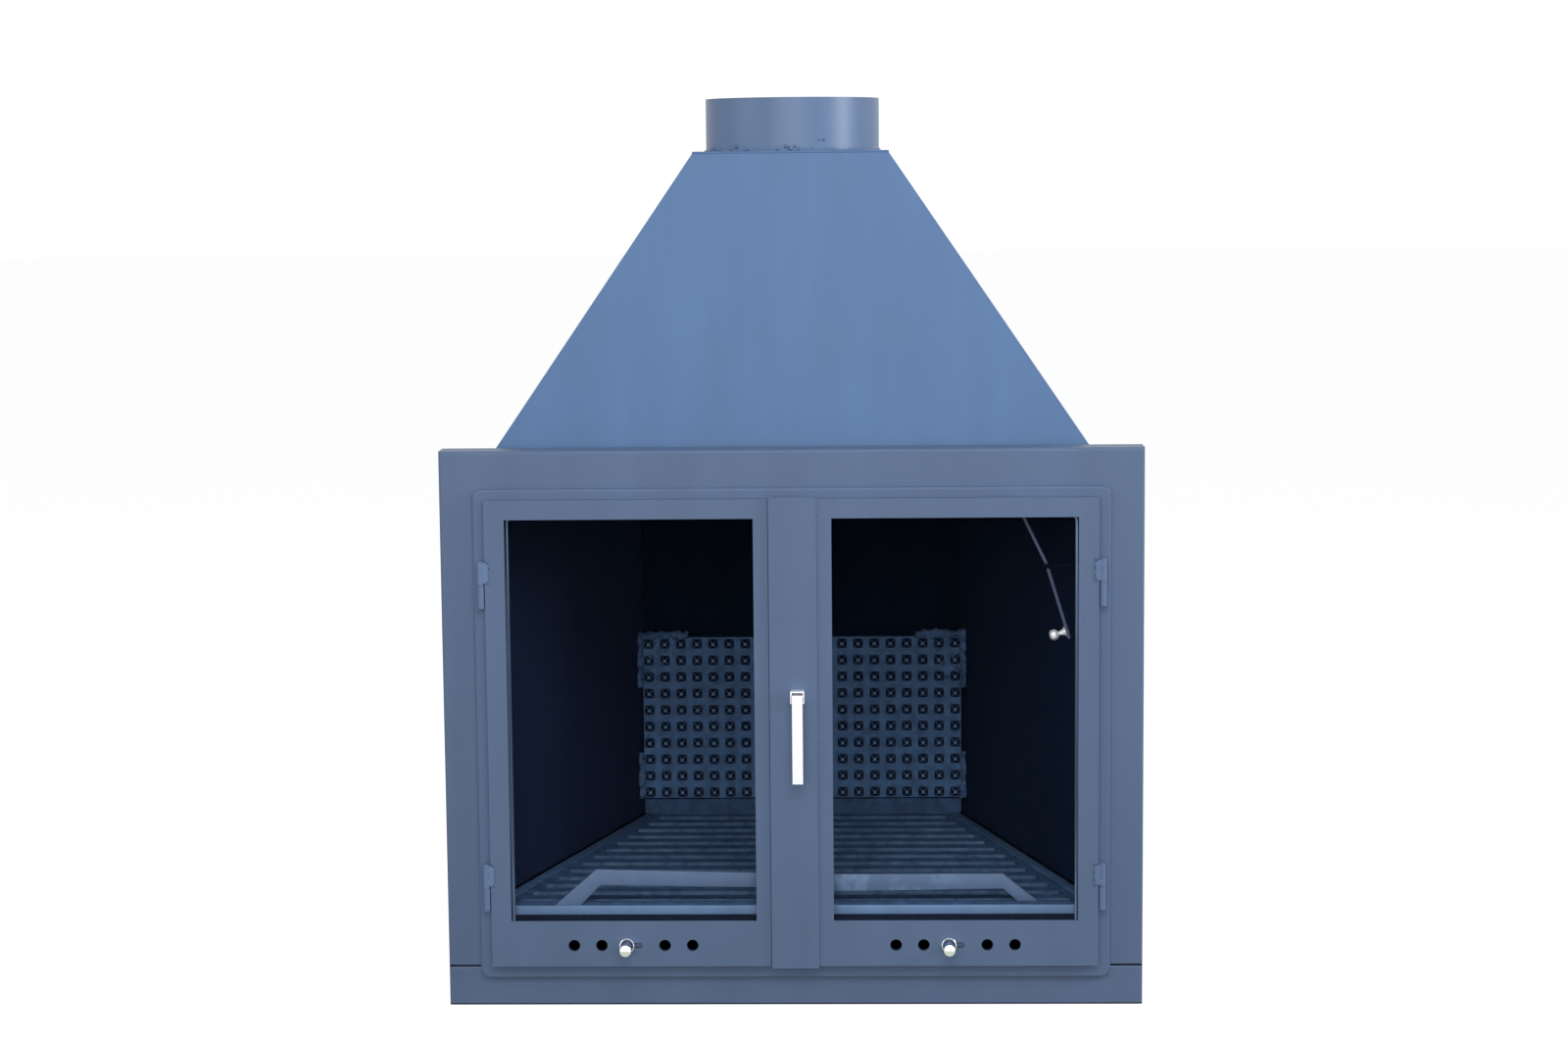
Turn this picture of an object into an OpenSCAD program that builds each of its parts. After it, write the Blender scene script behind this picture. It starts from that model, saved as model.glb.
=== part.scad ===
// Wood-burning fireplace insert: a welded steel firebox that narrows towards the back, a pyramid hood
// with a round flue collar, a folded trim frame and two glazed doors that close on a raised rim.
// The origin is on the floor below the flue's axis. X is to the right, Y to the back, Z up.

/* [Firebox] */
// Distance from the trim's side to the firebox's inner wall behind it
trim_reach = 54; // [50:1:80]
// Inner width of the firebox at the rear wall
firebox_rear_w = 505; // [480:1:560]
// Depth from the back of the trim sheet to the rear wall
firebox_depth = 606; // [560:1:640]
// Thickness of the body's steel plate
wall_t = 4; // [3:0.5:5]

/* [Hood] */
// Height of the hood from the body's top to its own top plate
hood_h = 407; // [340:1:460]
// Thickness of the hood's sheet
hood_t = 3; // [2:0.5:4]
// Distance from the trim's face back to the foot of the hood
hood_setback = 74; // [64:1:84]
// Outer diameter of the flue collar
collar_d = 250; // [200:1:254]
// Height of the flue collar above the hood's top plate
collar_h = 75; // [50:1:100]
// Flat border of the hood's square top round the flue collar
hood_border = 13; // [10:1:35]
// Wall of the flue collar
collar_t = 2.5; // [2:0.5:4]
// Distance from the trim's face back to the flue's axis
flue_setback = 275; // [265:1:290]

/* [Trim and rim] */
// Width of the trim frame
trim_w = 970; // [950:1:1000]
// Height of the trim frame
trim_h = 780; // [770:1:810]
// Depth of the trim's folded edges
trim_fold = 48; // [30:1:50]
// Sheet of the trim and of the sill strip
trim_t = 3; // [2:0.5:3]
// Outer bend radius of the trim's folded edges
trim_bend_r = 4; // [3.5:0.5:5]
// Height of the sill strip below the trim's seam
sill_h = 56; // [48:1:60]
// Gap at the seam between the trim and the sill strip
seam_gap = 1.6; // [0.5:0.1:2]
// Width of the trim beside the raised rim
rim_inset = 46.5; // [43:0.5:50]
// Height of the rim's lower outer edge above the floor
rim_z0 = 40.5; // [38:0.5:44]
// Height of the rim's upper outer edge above the floor
rim_z1 = 728; // [724:1:736]
// Thickness of the rim in front of the trim
rim_t = 8; // [6:0.5:10]
// Radius of the rim's rounded outer edge
rim_edge_r = 3; // [2:0.5:6]
// Radius of the rim's outer corners
rim_corner_r = 12; // [10:1:16]
// Width of the rim beside its opening
rim_side = 48.5; // [44:0.5:52]
// How far the doors reach down over the rim's lower side
rim_low_lap = 10; // [8:1:14]

/* [Doors] */
// Width of the rim that shows beside a closed door
door_inset = 17; // [16:0.5:20]
// Height of the doors' lower edge above the floor
door_z0 = 60; // [58:1:64]
// Height of the doors
door_h = 654; // [646:1:658]
// Depth of a door, from its face to its back
door_d = 12; // [12:0.5:16]
// Sheet of a door's face and folded edge
door_t = 3; // [2:0.5:3]
// Gap between the two doors
door_gap = 4; // [3:0.5:6]
// Distance from the middle of the insert to the middle of the gap, to the left
door_split = 8; // [4:1:12]
// Distance from the middle of the insert to the left window's near edge
window_near = 52; // [50:0.5:56]
// How much farther from the middle the right window's near edge is
window_skew = 3.5; // [0:0.5:4]
// Width of the stile beside a window, on the hinges' side
stile_w = 28; // [27:0.5:36]
// Height of the rail above a window
top_rail = 27; // [26:0.5:40]
// Height of the rail below a window
bottom_rail = 64.5; // [62:0.5:70]
// Thickness of the glass
glass_t = 4; // [3:0.5:4]
// How far the glass reaches past the window's edge
glass_lap = 11; // [9:0.5:13]
// Width of the strip that covers the gap between the doors
strip_w = 66; // [60:1:70]
// Thickness of the cover strip
strip_t = 4; // [3:0.5:5]

/* [Hinges] */
// Diameter of a hinge barrel
barrel_d = 10; // [9:0.5:11]
// Length of one half of a barrel
barrel_l = 32.5; // [28:0.5:36]
// Diameter of a hinge pin
hinge_pin_d = 6; // [5:0.5:6]
// Height of the lower hinges' split above the doors' lower edge
hinge_low = 112; // [90:1:140]
// Depth of the upper hinges' split below the doors' upper edge
hinge_high = 117; // [80:1:150]

/* [Air slides] */
// Diameter of an air hole
air_hole_d = 16; // [12:1:18]
// Distance from a slide's middle to its inner holes
air_inner = 44; // [40:1:48]
// Distance from an inner hole to the outer one beside it
air_pitch = 38.5; // [36:0.5:42]
// Travel of an air slide
air_travel = 18; // [16:1:20]
// Height of the air holes above the floor
air_z = 90; // [88:1:93]
// Diameter of a knob's round end
knob_d = 16.5; // [14:0.5:18]
// Distance from an air knob's foot to the middle of its round end
knob_reach = 26; // [22:1:30]

/* [Handle] */
// Distance from the middle of the insert to the handle's spindle, to the right
handle_x = 7.5; // [5:0.5:10]
// Height of the handle's spindle above the doors' middle
handle_up = 57; // [50:1:75]
// Side of the handle's square tube
handle_tube = 19.5; // [19:0.5:24]
// Width of the handle's flat bar
handle_bar_w = 15; // [13:0.5:15]
// Distance from the spindle down to the end of the bar
handle_drop = 121; // [100:1:140]
// Diameter of the spindle
spindle_d = 8; // [7:0.5:10]

/* [Fire bed] */
// Height of the top of the grate above the floor
grate_z = 142; // [130:1:150]
// Depth of the cast grate
grate_t = 18; // [14:1:24]
// Number of bars across the grate
grate_bars = 12; // [10:1:14]
// Width of one bar
grate_bar_w = 25; // [20:1:28]
// Distance from one bar to the next
grate_pitch = 45; // [42:0.5:46]
// Width of the grate's flat border along the walls
grate_border = 34; // [26:1:40]
// Distance from the firebox's wall to the log guard's top corner
guard_inset = 143; // [130:1:170]
// Height of the log guard above the grate
guard_rise = 46; // [36:1:60]
// Width of the guard's flat bar
guard_bar_w = 20; // [16:1:24]

/* [Fireback] */
// Columns of studs
stud_cols = 20; // [16:1:20]
// Rows of studs
stud_rows = 10; // [8:1:10]
// Distance between columns
stud_pitch_x = 25.5; // [24:0.1:25.5]
// Distance between rows
stud_pitch_z = 26.5; // [24:0.1:27]
// Foot of one pyramid stud
stud_base = 15; // [12:0.5:17]
// Flat tip of one pyramid stud
stud_tip = 3; // [2:0.5:5]
// How far a stud stands out
stud_h = 7; // [5:0.5:9]
// Thickness of the cast plate
fireback_t = 15; // [12:1:18]
// Height of the ledge that the plate stands on
ledge_h = 26; // [20:1:30]

/* [Damper] */
// Distance from the trim's face back to the damper's shaft
shaft_y = 34; // [32:1:38]
// Height of the damper's shaft above the floor
shaft_z = 735; // [730:1:738]
// Diameter of the damper's shaft
shaft_d = 12; // [10:0.5:12]
// Distance from the firebox's wall at the front to the side of the damper's flap
flap_inset = 135; // [134:1:150]
// Depth of the damper's flap
flap_l = 262; // [240:1:270]
// Thickness of the flap
flap_t = 3; // [2:0.5:4]
// Thickness of the lever's flat bar
lever_t = 4; // [3:0.5:5]
// Width of the lever's flat bar
lever_w = 14; // [12:1:16]

/* [Hidden] */
$fn = 96;

// Clearances: parts that only lie beside each other, and parts that run on each other
gap = 0.4;
run = 0.05;
eps = 1;

// The hood stands on the body's top, just under the trim's folded edge
body_h = trim_h - trim_t;

// Widths, one inside the other from the trim inwards
firebox_front_w = trim_w - 2 * trim_reach;
rim_w = trim_w - 2 * rim_inset;
rim_open_w = rim_w - 2 * rim_side;
doors_w = rim_w - 2 * door_inset;
window_h = door_h - bottom_rail - top_rail;
hood_top_w = collar_d + 2 * hood_border;
flap_w = firebox_front_w - 2 * flap_inset;
handle_z = door_z0 + door_h / 2 + handle_up;
guard_half_w = firebox_front_w / 2 - guard_inset;

// Planes along Y, counted from the trim's face and moved so that the flue's axis is at Y = 0
face_y = -flue_setback;
inner_y0 = face_y + trim_t;
inner_y1 = inner_y0 + firebox_depth;
hood_y0 = face_y + hood_setback;
rim_y = face_y - rim_t;
door_back = rim_y - gap;
door_face = door_back - door_d;
strip_back = door_face - gap;
strip_face = strip_back - strip_t;

// Half the inner width of the firebox at a depth
taper = (firebox_front_w - firebox_rear_w) / 2 / firebox_depth;
function half_w(y) = firebox_front_w / 2 - taper * (y - inner_y0);
// Extra width that a plate of this thickness takes along X on the tapered wall
function across(t) = t * sqrt(1 + taper * taper);

// A floor outline between two depths, grown outwards by g on its sides
module plan(y0, y1, g = 0) {
    polygon([[-half_w(y0) - across(g), y0], [half_w(y0) + across(g), y0],
        [half_w(y1) + across(g), y1], [-half_w(y1) - across(g), y1]]);
}
module slab(z0, z1) { translate([0, 0, z0]) linear_extrude(z1 - z0) children(); }
module box(lo, hi) { translate(lo) cube(hi - lo); }
// A cylinder along Y, from depth y0 to y1
module along_y(x, z, y0, y1, d) {
    translate([x, y0, z]) rotate([-90, 0, 0]) cylinder(d = d, h = y1 - y0);
}
// A cylinder along X, from x0 to x1
module along_x(y, z, x0, x1, d) {
    translate([x0, y, z]) rotate([0, 90, 0]) cylinder(d = d, h = x1 - x0);
}
// An outline drawn in X and Z, thick from depth y0 to y1
module upright(y0, y1) { translate([0, y1, 0]) rotate([90, 0, 0]) linear_extrude(y1 - y0) children(); }
module both_sides() { children(); mirror([1, 0, 0]) children(); }

steel = [0.33, 0.42, 0.55];
dark_steel = [0.16, 0.2, 0.28];
cast = [0.2, 0.26, 0.35];
chrome = [0.85, 0.86, 0.88];
glass_tint = [0.6, 0.7, 0.8, 0.35];

// The welded body
module base_plate() {
    color(dark_steel) slab(0, wall_t) plan(inner_y0, inner_y1 + wall_t, wall_t);
}
module right_wall() {
    color(dark_steel) slab(wall_t, body_h - wall_t) difference() {
        plan(inner_y0, inner_y1, wall_t);
        plan(inner_y0 - eps, inner_y1 + eps);
        translate([-trim_w, inner_y0 - eps]) square([trim_w, firebox_depth + 2 * eps]);
    }
}
module left_wall() { mirror([1, 0, 0]) right_wall(); }
module rear_wall() {
    color(dark_steel) slab(wall_t, body_h - wall_t) plan(inner_y1, inner_y1 + wall_t, wall_t);
}
module top_frame() {
    color(steel) slab(body_h - wall_t, body_h) difference() {
        plan(inner_y0 + trim_bend_r - trim_t, inner_y1 + wall_t, wall_t);
        plan(hood_y0 + hood_t + eps, inner_y1 - eps, -eps);
    }
}

// The hood runs from the body's tapered outline to the square below the collar
sliver = 0.01;
module hood_foot(z, g) { slab(z, z + sliver) plan(hood_y0 - g, inner_y1 + wall_t + g, wall_t + g); }
module hood_head(z, g) {
    slab(z - sliver, z) square([hood_top_w + 2 * g, hood_top_w + 2 * g], center = true);
}
hood_z1 = body_h + hood_h;
module hood_shell() {
    color(steel) difference() {
        hull() { hood_foot(body_h, 0); hood_head(hood_z1, 0); }
        hull() { hood_foot(body_h - 2 * sliver, -hood_t); hood_head(hood_z1 + 2 * sliver, -hood_t); }
    }
}
module hood_top_plate() {
    color(steel) slab(hood_z1, hood_z1 + hood_t) difference() {
        square(hood_top_w, center = true);
        circle(d = collar_d - 2 * collar_t);
    }
}
module flue_collar() {
    color(steel) slab(hood_z1 + hood_t, hood_z1 + hood_t + collar_h) difference() {
        circle(d = collar_d);
        circle(d = collar_d - 2 * collar_t);
    }
}

// The trim is one folded sheet: a face with its top and side edges folded back
rim_lap = 17;
trim_open_w = rim_w - 2 * rim_lap;
trim_open_z1 = rim_z1 - rim_lap;
// Floor outline of a folded edge pair, its front corners bent round
module fold_plan(half, depth, r) {
    difference() {
        translate([-half, 0]) square([2 * half, depth]);
        for (s = [-1, 1]) translate([s * (half - r), r]) difference() {
            translate([s > 0 ? 0 : -r - eps, -r - eps]) square(r + eps);
            circle(r);
        }
    }
}
module trim_block(in, z0, z1, back) {
    r = trim_bend_r - in;
    intersection() {
        translate([0, face_y + in, 0]) slab(z0, z1) fold_plan(trim_w / 2 - in, back - in, r);
        translate([-trim_w / 2, 0, 0]) rotate([90, 0, 90]) linear_extrude(trim_w) difference() {
            translate([face_y + in, z0 - eps]) square([back - in, z1 - z0 + eps]);
            translate([face_y + in + r, z1 - r]) difference() {
                translate([-r - eps, 0]) square(r + eps);
                circle(r);
            }
        }
    }
}
module trim_frame() {
    z0 = sill_h + seam_gap;
    color(steel) difference() {
        trim_block(0, z0, trim_h, trim_fold);
        trim_block(trim_t, z0 - eps, trim_h - trim_t, trim_fold + eps);
        box([-trim_open_w / 2, face_y - eps, z0 - eps], [trim_open_w / 2, face_y + trim_t + eps, trim_open_z1]);
    }
}
module sill_strip() {
    color(steel) difference() {
        trim_block(0, 0, sill_h, trim_fold);
        trim_block(trim_t, -eps, sill_h - trim_t, trim_fold + eps);
        slab(-eps, sill_h + eps) plan(inner_y0, inner_y1, wall_t + gap);
    }
}

// The rim is a thick frame plate with a rounded outer edge
rim_open_z0 = door_z0 + rim_low_lap;
rim_open_z1 = rim_z1 - rim_side + rim_corner_r;
module rounded(x0, z0, x1, z1, r) {
    translate([x0 + r, z0]) square([x1 - x0 - 2 * r, z1 - z0]);
    translate([x0, z0 + r]) square([x1 - x0, z1 - z0 - 2 * r]);
    for (x = [x0 + r, x1 - r], z = [z0 + r, z1 - r]) translate([x, z]) circle(r);
}
module rim_outline(in) {
    rounded(-rim_w / 2 + in, rim_z0 + in, rim_w / 2 - in, rim_z1 - in, rim_corner_r - in);
}
// Section of the rim's edge, its front corner rounded: x outwards, y to the front
module edge_section() {
    square([rim_edge_r, rim_t - rim_edge_r]);
    translate([0, rim_t - rim_edge_r]) intersection() {
        circle(rim_edge_r);
        square(rim_edge_r);
    }
}
module edge_run(len) { mirror([0, 1, 0]) linear_extrude(len) edge_section(); }
module edge_corner() {
    rotate([90, 0, 0]) rotate_extrude(angle = 90)
        translate([rim_corner_r - rim_edge_r, 0]) edge_section();
}
module rim_edge() {
    x = rim_w / 2 - rim_corner_r;
    z0 = rim_z0 + rim_corner_r;
    z1 = rim_z1 - rim_corner_r;
    both_sides() {
        translate([rim_w / 2 - rim_edge_r, face_y, z0]) edge_run(z1 - z0);
        translate([x, face_y, z1]) edge_corner();
        translate([x, face_y, z0]) mirror([0, 0, 1]) edge_corner();
    }
    translate([x, face_y, rim_z1 - rim_edge_r]) rotate([0, -90, 0]) edge_run(2 * x);
    translate([-x, face_y, rim_z0 + rim_edge_r]) rotate([0, 90, 0]) edge_run(2 * x);
}
module door_rim() {
    color(steel) difference() {
        union() {
            upright(rim_y, face_y) rim_outline(rim_edge_r);
            rim_edge();
        }
        upright(rim_y - eps, face_y + eps)
            translate([-rim_open_w / 2, rim_open_z0]) square([rim_open_w, rim_open_z1 - rim_open_z0]);
    }
}

// Doors: a folded pan with a window, for the right side, and its mirror image with its own near edge
right_near = -door_split + door_gap / 2;
left_near = door_split + door_gap / 2;
right_window = window_near + window_skew;
window_far = doors_w / 2 - stile_w;
window_z0 = door_z0 + bottom_rail;
air_inset = 197.5;
air_x = doors_w / 2 - air_inset;
slot_d = 7;
module window_area(near, g) {
    translate([near - g, window_z0 - g]) square([window_far - near + 2 * g, window_h + 2 * g]);
}
module air_holes() {
    for (s = [-1, 1], n = [0, 1]) translate([air_x + s * (air_inner + n * air_pitch), air_z])
        circle(d = air_hole_d);
}
module door_area(near, in) {
    translate([near + in, door_z0 + in]) square([doors_w / 2 - near - 2 * in, door_h - 2 * in]);
}
module door_pan(near, window, knob_side) {
    knob_x = air_x + knob_side * air_travel / 2;
    upright(door_face, door_face + door_t) difference() {
        door_area(near, 0);
        window_area(window, 0);
        air_holes();
        for (x = [knob_x, knob_x - knob_side * air_travel]) translate([x, air_z]) circle(d = slot_d);
        translate([air_x - air_travel / 2, air_z - slot_d / 2]) square([air_travel, slot_d]);
    }
    upright(door_face + door_t, door_back) difference() {
        door_area(near, 0);
        door_area(near, door_t);
    }
}
module right_door_frame() {
    color(steel) difference() {
        door_pan(right_near, right_window, -1);
        along_y(handle_x, handle_z, door_face - eps, door_back + eps, spindle_d + 2 * run);
    }
}
module left_door_frame() { color(steel) mirror([1, 0, 0]) door_pan(left_near, window_near, 1); }

seal_t = 2;
glass_y = door_face + door_t + seal_t;
seal_back = 2;
module pane(near) { upright(glass_y, glass_y + glass_t) window_area(near, glass_lap); }
module seal_ring(near) {
    upright(door_face + door_t, glass_y) difference() {
        window_area(near, glass_lap);
        window_area(near, seal_back);
    }
}
module right_glass() { color(glass_tint) pane(right_window); }
module left_glass() { color(glass_tint) mirror([1, 0, 0]) pane(window_near); }
module right_glass_seal() { color("gainsboro") seal_ring(right_window); }
module left_glass_seal() { color("gainsboro") mirror([1, 0, 0]) seal_ring(window_near); }

// Each clip is a flat bar across the glass's edge, with a spacer and a screw head in one piece
clip_l = 20;
clip_w = 14;
clip_t = 1.5;
clip_foot = 7;
clip_pitch = 225;
module clip(x, z, side) {
    y = glass_y + glass_t;
    translate([x, 0, z]) {
        box([side > 0 ? -clip_foot : -clip_l + clip_foot, y, -clip_w / 2],
            [side > 0 ? clip_l - clip_foot : clip_foot, y + clip_t, clip_w / 2]);
        box([side > 0 ? eps : -clip_foot, door_face + door_t, -clip_w / 2],
            [side > 0 ? clip_foot : -eps, y, clip_w / 2]);
    }
}
module clip_set(near) {
    for (n = [-1:1]) {
        z = window_z0 + window_h / 2 + n * clip_pitch;
        clip(window_far + glass_lap, z, 1);
        clip(near - glass_lap, z, -1);
    }
}
module right_glass_clips() { color("silver") clip_set(right_window); }
module left_glass_clips() { color("silver") mirror([1, 0, 0]) clip_set(window_near); }

// The hinges' lower halves stand on the rim and their upper halves hang on the doors
hinge_x = doors_w / 2 + barrel_d / 2 + 2 * gap;
hinge_y = door_face + door_t + gap;
hinge_gap = 0.5;
pin_end = 8;
pin_reach = barrel_l - pin_end;
flag_t = 1.6;
flag_r = 5;
flag_in = 3;
flag_h = barrel_l - flag_in - eps;
module hinge_bore(z) {
    translate([hinge_x, hinge_y, z - pin_reach]) cylinder(d = hinge_pin_d + 2 * run, h = 2 * pin_reach);
}
module lower_half(z) {
    difference() {
        union() {
            translate([hinge_x, hinge_y, z - hinge_gap / 2 - barrel_l]) cylinder(d = barrel_d, h = barrel_l);
            box([hinge_x - barrel_d / 2 + eps, hinge_y, z - hinge_gap / 2 - barrel_l],
                [hinge_x + barrel_d / 2 - eps, rim_y, z - hinge_gap / 2 - flag_in]);
        }
        hinge_bore(z);
    }
}
module upper_half(z) {
    r = flag_r;
    x0 = doors_w / 2 - r;
    x1 = hinge_x - flag_in;
    z0 = z + flag_in;
    difference() {
        union() {
            translate([hinge_x, hinge_y, z + hinge_gap / 2]) cylinder(d = barrel_d, h = barrel_l);
            upright(door_face - flag_t, door_face) {
                translate([x0 + r, z0]) square([x1 - x0 - r, flag_h]);
                translate([x0, z0 + r]) square([r, flag_h - 2 * r]);
                for (dz = [r, flag_h - r]) translate([x0 + r, z0 + dz]) circle(r);
            }
            box([hinge_x - barrel_d / 2, door_face - flag_t, z0], [x1, hinge_y, z0 + flag_h]);
        }
        hinge_bore(z);
    }
}
module each_hinge() {
    for (z = [door_z0 + hinge_low, door_z0 + door_h - hinge_high]) translate([0, 0, z]) children();
}
module rim_hinge_halves() { color(steel) both_sides() each_hinge() lower_half(0); }
module right_hinge_halves() { color(steel) each_hinge() upper_half(0); }
module left_hinge_halves() { color(steel) mirror([1, 0, 0]) right_hinge_halves(); }
module hinge_pins() {
    color("silver") both_sides() each_hinge() translate([hinge_x, hinge_y, -pin_reach])
        cylinder(d = hinge_pin_d, h = 2 * pin_reach - gap);
}

// An air slide is a plate with the door's four holes, held behind the rail by two bent guides
slide_t = 2;
slide_half_h = 14;
slide_end = 4;
slide_half_l = air_inner + air_pitch + air_travel + slide_end;
slide_y = door_face + door_t + gap;
module air_plate(knob_side) {
    knob_x = air_x + knob_side * air_travel / 2;
    upright(slide_y, slide_y + slide_t) difference() {
        translate([air_x - slide_half_l, air_z - slide_half_h]) square([2 * slide_half_l, 2 * slide_half_h]);
        air_holes();
        translate([knob_x, air_z]) circle(d = knob_tail_d);
    }
}
guide_w = 10;
guide_lip = 4;
guide_t = 1.5;
module slide_guides() {
    y = slide_y + slide_t + gap;
    l = 2 * slide_half_l - 2 * guide_w;
    for (s = [-1, 1]) translate([air_x - l / 2, 0, air_z + s * slide_half_h]) {
        upright(y, y + guide_t) translate([0, s > 0 ? -guide_lip : guide_lip - guide_w]) square([l, guide_w]);
        upright(door_face + door_t, y) translate([0, s > 0 ? gap : guide_lip - guide_w])
            square([l, guide_w - guide_lip - gap]);
    }
}
// A turned knob: a flange, a waist and a round end cut flat, along -Y from its foot at the origin
knob_stem_d = 5;
knob_tail_d = 4;
knob_round_l = 13;
knob_waist_d = 9;
knob_neck_d = 5.5;
module knob(flange_d, flange_t, reach, stem) {
    rotate([90, 0, 0]) {
        cylinder(d = flange_d, h = flange_t);
        cylinder(d1 = knob_waist_d, d2 = knob_neck_d, h = reach);
        translate([0, 0, reach]) intersection() {
            sphere(d = knob_d);
            cylinder(d = knob_d, h = knob_round_l, center = true);
        }
    }
    if (stem > 0) rotate([-90, 0, 0]) cylinder(d = knob_stem_d, h = stem);
}
air_flange_d = 21;
air_flange_t = 4;
module air_knob(knob_side) {
    x = air_x + knob_side * air_travel / 2;
    translate([x, door_face - gap, air_z]) knob(air_flange_d, air_flange_t, knob_reach, door_t + 2 * gap);
    along_y(x, air_z, slide_y, slide_y + slide_t, knob_tail_d);
}
module right_air_plate() { color(dark_steel) air_plate(-1); }
module left_air_plate() { color(dark_steel) mirror([1, 0, 0]) air_plate(1); }
module right_air_knob() { color(chrome) air_knob(-1); }
module left_air_knob() { color(chrome) mirror([1, 0, 0]) air_knob(1); }
module right_slide_guides() { color(dark_steel) slide_guides(); }
module left_slide_guides() { color(dark_steel) mirror([1, 0, 0]) slide_guides(); }

// The strip over the gap is welded to the right door and laps the left one
strip_x = 2;
strip_over = 2;
module cover_strip() {
    color(steel) difference() {
        upright(strip_face, strip_back)
            translate([strip_x - strip_w / 2, door_z0 - strip_over]) square([strip_w, door_h + 2 * strip_over]);
        along_y(handle_x, handle_z, strip_face - eps, strip_back + eps, spindle_d + 2 * run);
    }
}

// The handle: a square tube on the spindle, a flat bar bent down out of it, and the tongue behind
tube_l = 20;
tube_t = 2;
tube_floor = 4;
grip_t = 4;
grip_top = 3.5;
tube_y = strip_face - gap;
module handle_tube_head() {
    color(chrome) difference() {
        translate([handle_x, 0, handle_z]) {
            box([-handle_tube / 2, tube_y - tube_l, -handle_tube / 2],
                [handle_tube / 2, tube_y, handle_tube / 2]);
        }
        translate([handle_x, 0, handle_z]) box(
            [-handle_tube / 2 + tube_t, tube_y - tube_l - eps, -handle_tube / 2 + tube_t],
            [handle_tube / 2 - tube_t, tube_y - tube_floor, handle_tube / 2 - tube_t]);
        along_y(handle_x, handle_z, tube_y - tube_l, tube_y + eps, spindle_d);
    }
}
module handle_grip_bar() {
    w = handle_bar_w / 2;
    y0 = tube_y - tube_l - grip_t - eps;
    y1 = tube_y - tube_floor;
    r = grip_t;
    z1 = handle_z + grip_top;
    // The bar's side view: out of the tube, round the bend and down
    color(chrome) translate([handle_x - w, 0, 0]) rotate([90, 0, 90]) linear_extrude(2 * w) {
        translate([y0 + r, z1 - grip_t]) square([y1 - y0 - r, grip_t]);
        translate([y0, handle_z - handle_drop]) square([grip_t, handle_drop + grip_top - r]);
        translate([y0 + r, z1 - r]) intersection() {
            circle(r);
            translate([-r, 0]) square(r);
        }
    }
}
tongue_t = 4;
tongue_l = 38;
tongue_w = spindle_d + 4;
tongue_y = door_back + eps;
module latch_spindle() {
    color("silver") along_y(handle_x, handle_z, tube_y - tube_floor, tongue_y + tongue_t, spindle_d);
}
module latch_tongue() {
    color("silver") upright(tongue_y, tongue_y + tongue_t) translate([handle_x, handle_z]) difference() {
        union() {
            circle(d = tongue_w + 2);
            translate([-tongue_w / 2, -tongue_l]) square([tongue_w, tongue_l]);
        }
        circle(d = spindle_d);
    }
}
keeper_w = 27;
module latch_keeper() {
    color("silver") box([-left_near - keeper_w, door_face + door_t, handle_z - keeper_w / 2],
        [-left_near - door_t, door_back, handle_z + keeper_w / 2]);
}

// The fire bed
rail_h = 30;
rail_t = 4;
rail_w = 26;
module grate_rails() {
    z = grate_z - grate_t;
    color(dark_steel) both_sides() {
        slab(z - rail_t, z) side_strip(rail_w);
        slab(z - rail_h, z - rail_t) side_strip(rail_t);
    }
}
// A strip of this width along the right wall
module side_strip(w) {
    y0 = inner_y0 + gap;
    y1 = inner_y1 - fireback_t - gap;
    difference() {
        plan(y0, y1);
        plan(y0 - eps, y1 + eps, -w);
        translate([-trim_w, y0 - eps]) square([trim_w, y1 - y0 + 2 * eps]);
    }
}
grate_play = 2;
grate_setback = 19;
grate_y0 = face_y + grate_setback;
grate_y1 = inner_y1 - fireback_t - grate_play;
grate_rim = 6;
grate_back = 14;
first_bar = 47;
bar_y0 = face_y + first_bar;
module grate() {
    color(cast) slab(grate_z - grate_t, grate_z) difference() {
        plan(grate_y0, grate_y1, -grate_play);
        for (n = [0:grate_bars]) {
            y0 = max(bar_y0 + (n - 1) * grate_pitch + grate_bar_w / 2, grate_y0 + grate_rim);
            y1 = min(bar_y0 + n * grate_pitch - grate_bar_w / 2, grate_y1 - grate_back);
            if (y1 > y0 + grate_play) plan(y0, y1, -grate_border);
        }
    }
}
front_bar_setback = 4;
front_bar_y0 = face_y + front_bar_setback;
front_bar_t = 6;
module front_bar() {
    half = half_w(front_bar_y0 + front_bar_t) - grate_play;
    r = front_bar_t / 2;
    color(steel) translate([-half, front_bar_y0, grate_z - grate_t]) rotate([90, 0, 90])
        linear_extrude(2 * half) {
            square([front_bar_t, grate_t - r]);
            translate([r, grate_t - r]) circle(r);
        }
}
guard_y0 = front_bar_y0 + front_bar_t;
guard_t = 6;
guard_foot = 4;
// The guard was welded a little to the right and with its left end a little high
guard_shift = 5.5;
guard_tilt = 0.6;
module log_guard() {
    rise = guard_rise + grate_t - guard_foot;
    w = guard_bar_w;
    k = tan(22.5);
    foot = guard_half_w + rise;
    color(steel) upright(guard_y0, guard_y0 + guard_t)
        translate([guard_shift, grate_z + guard_rise]) rotate(-guard_tilt) polygon([
            [-guard_half_w, 0], [guard_half_w, 0], [foot, -rise], [foot - w * sqrt(2), -rise],
            [guard_half_w - w * k, -w], [-guard_half_w + w * k, -w],
            [w * sqrt(2) - foot, -rise], [-foot, -rise]]);
}

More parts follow.
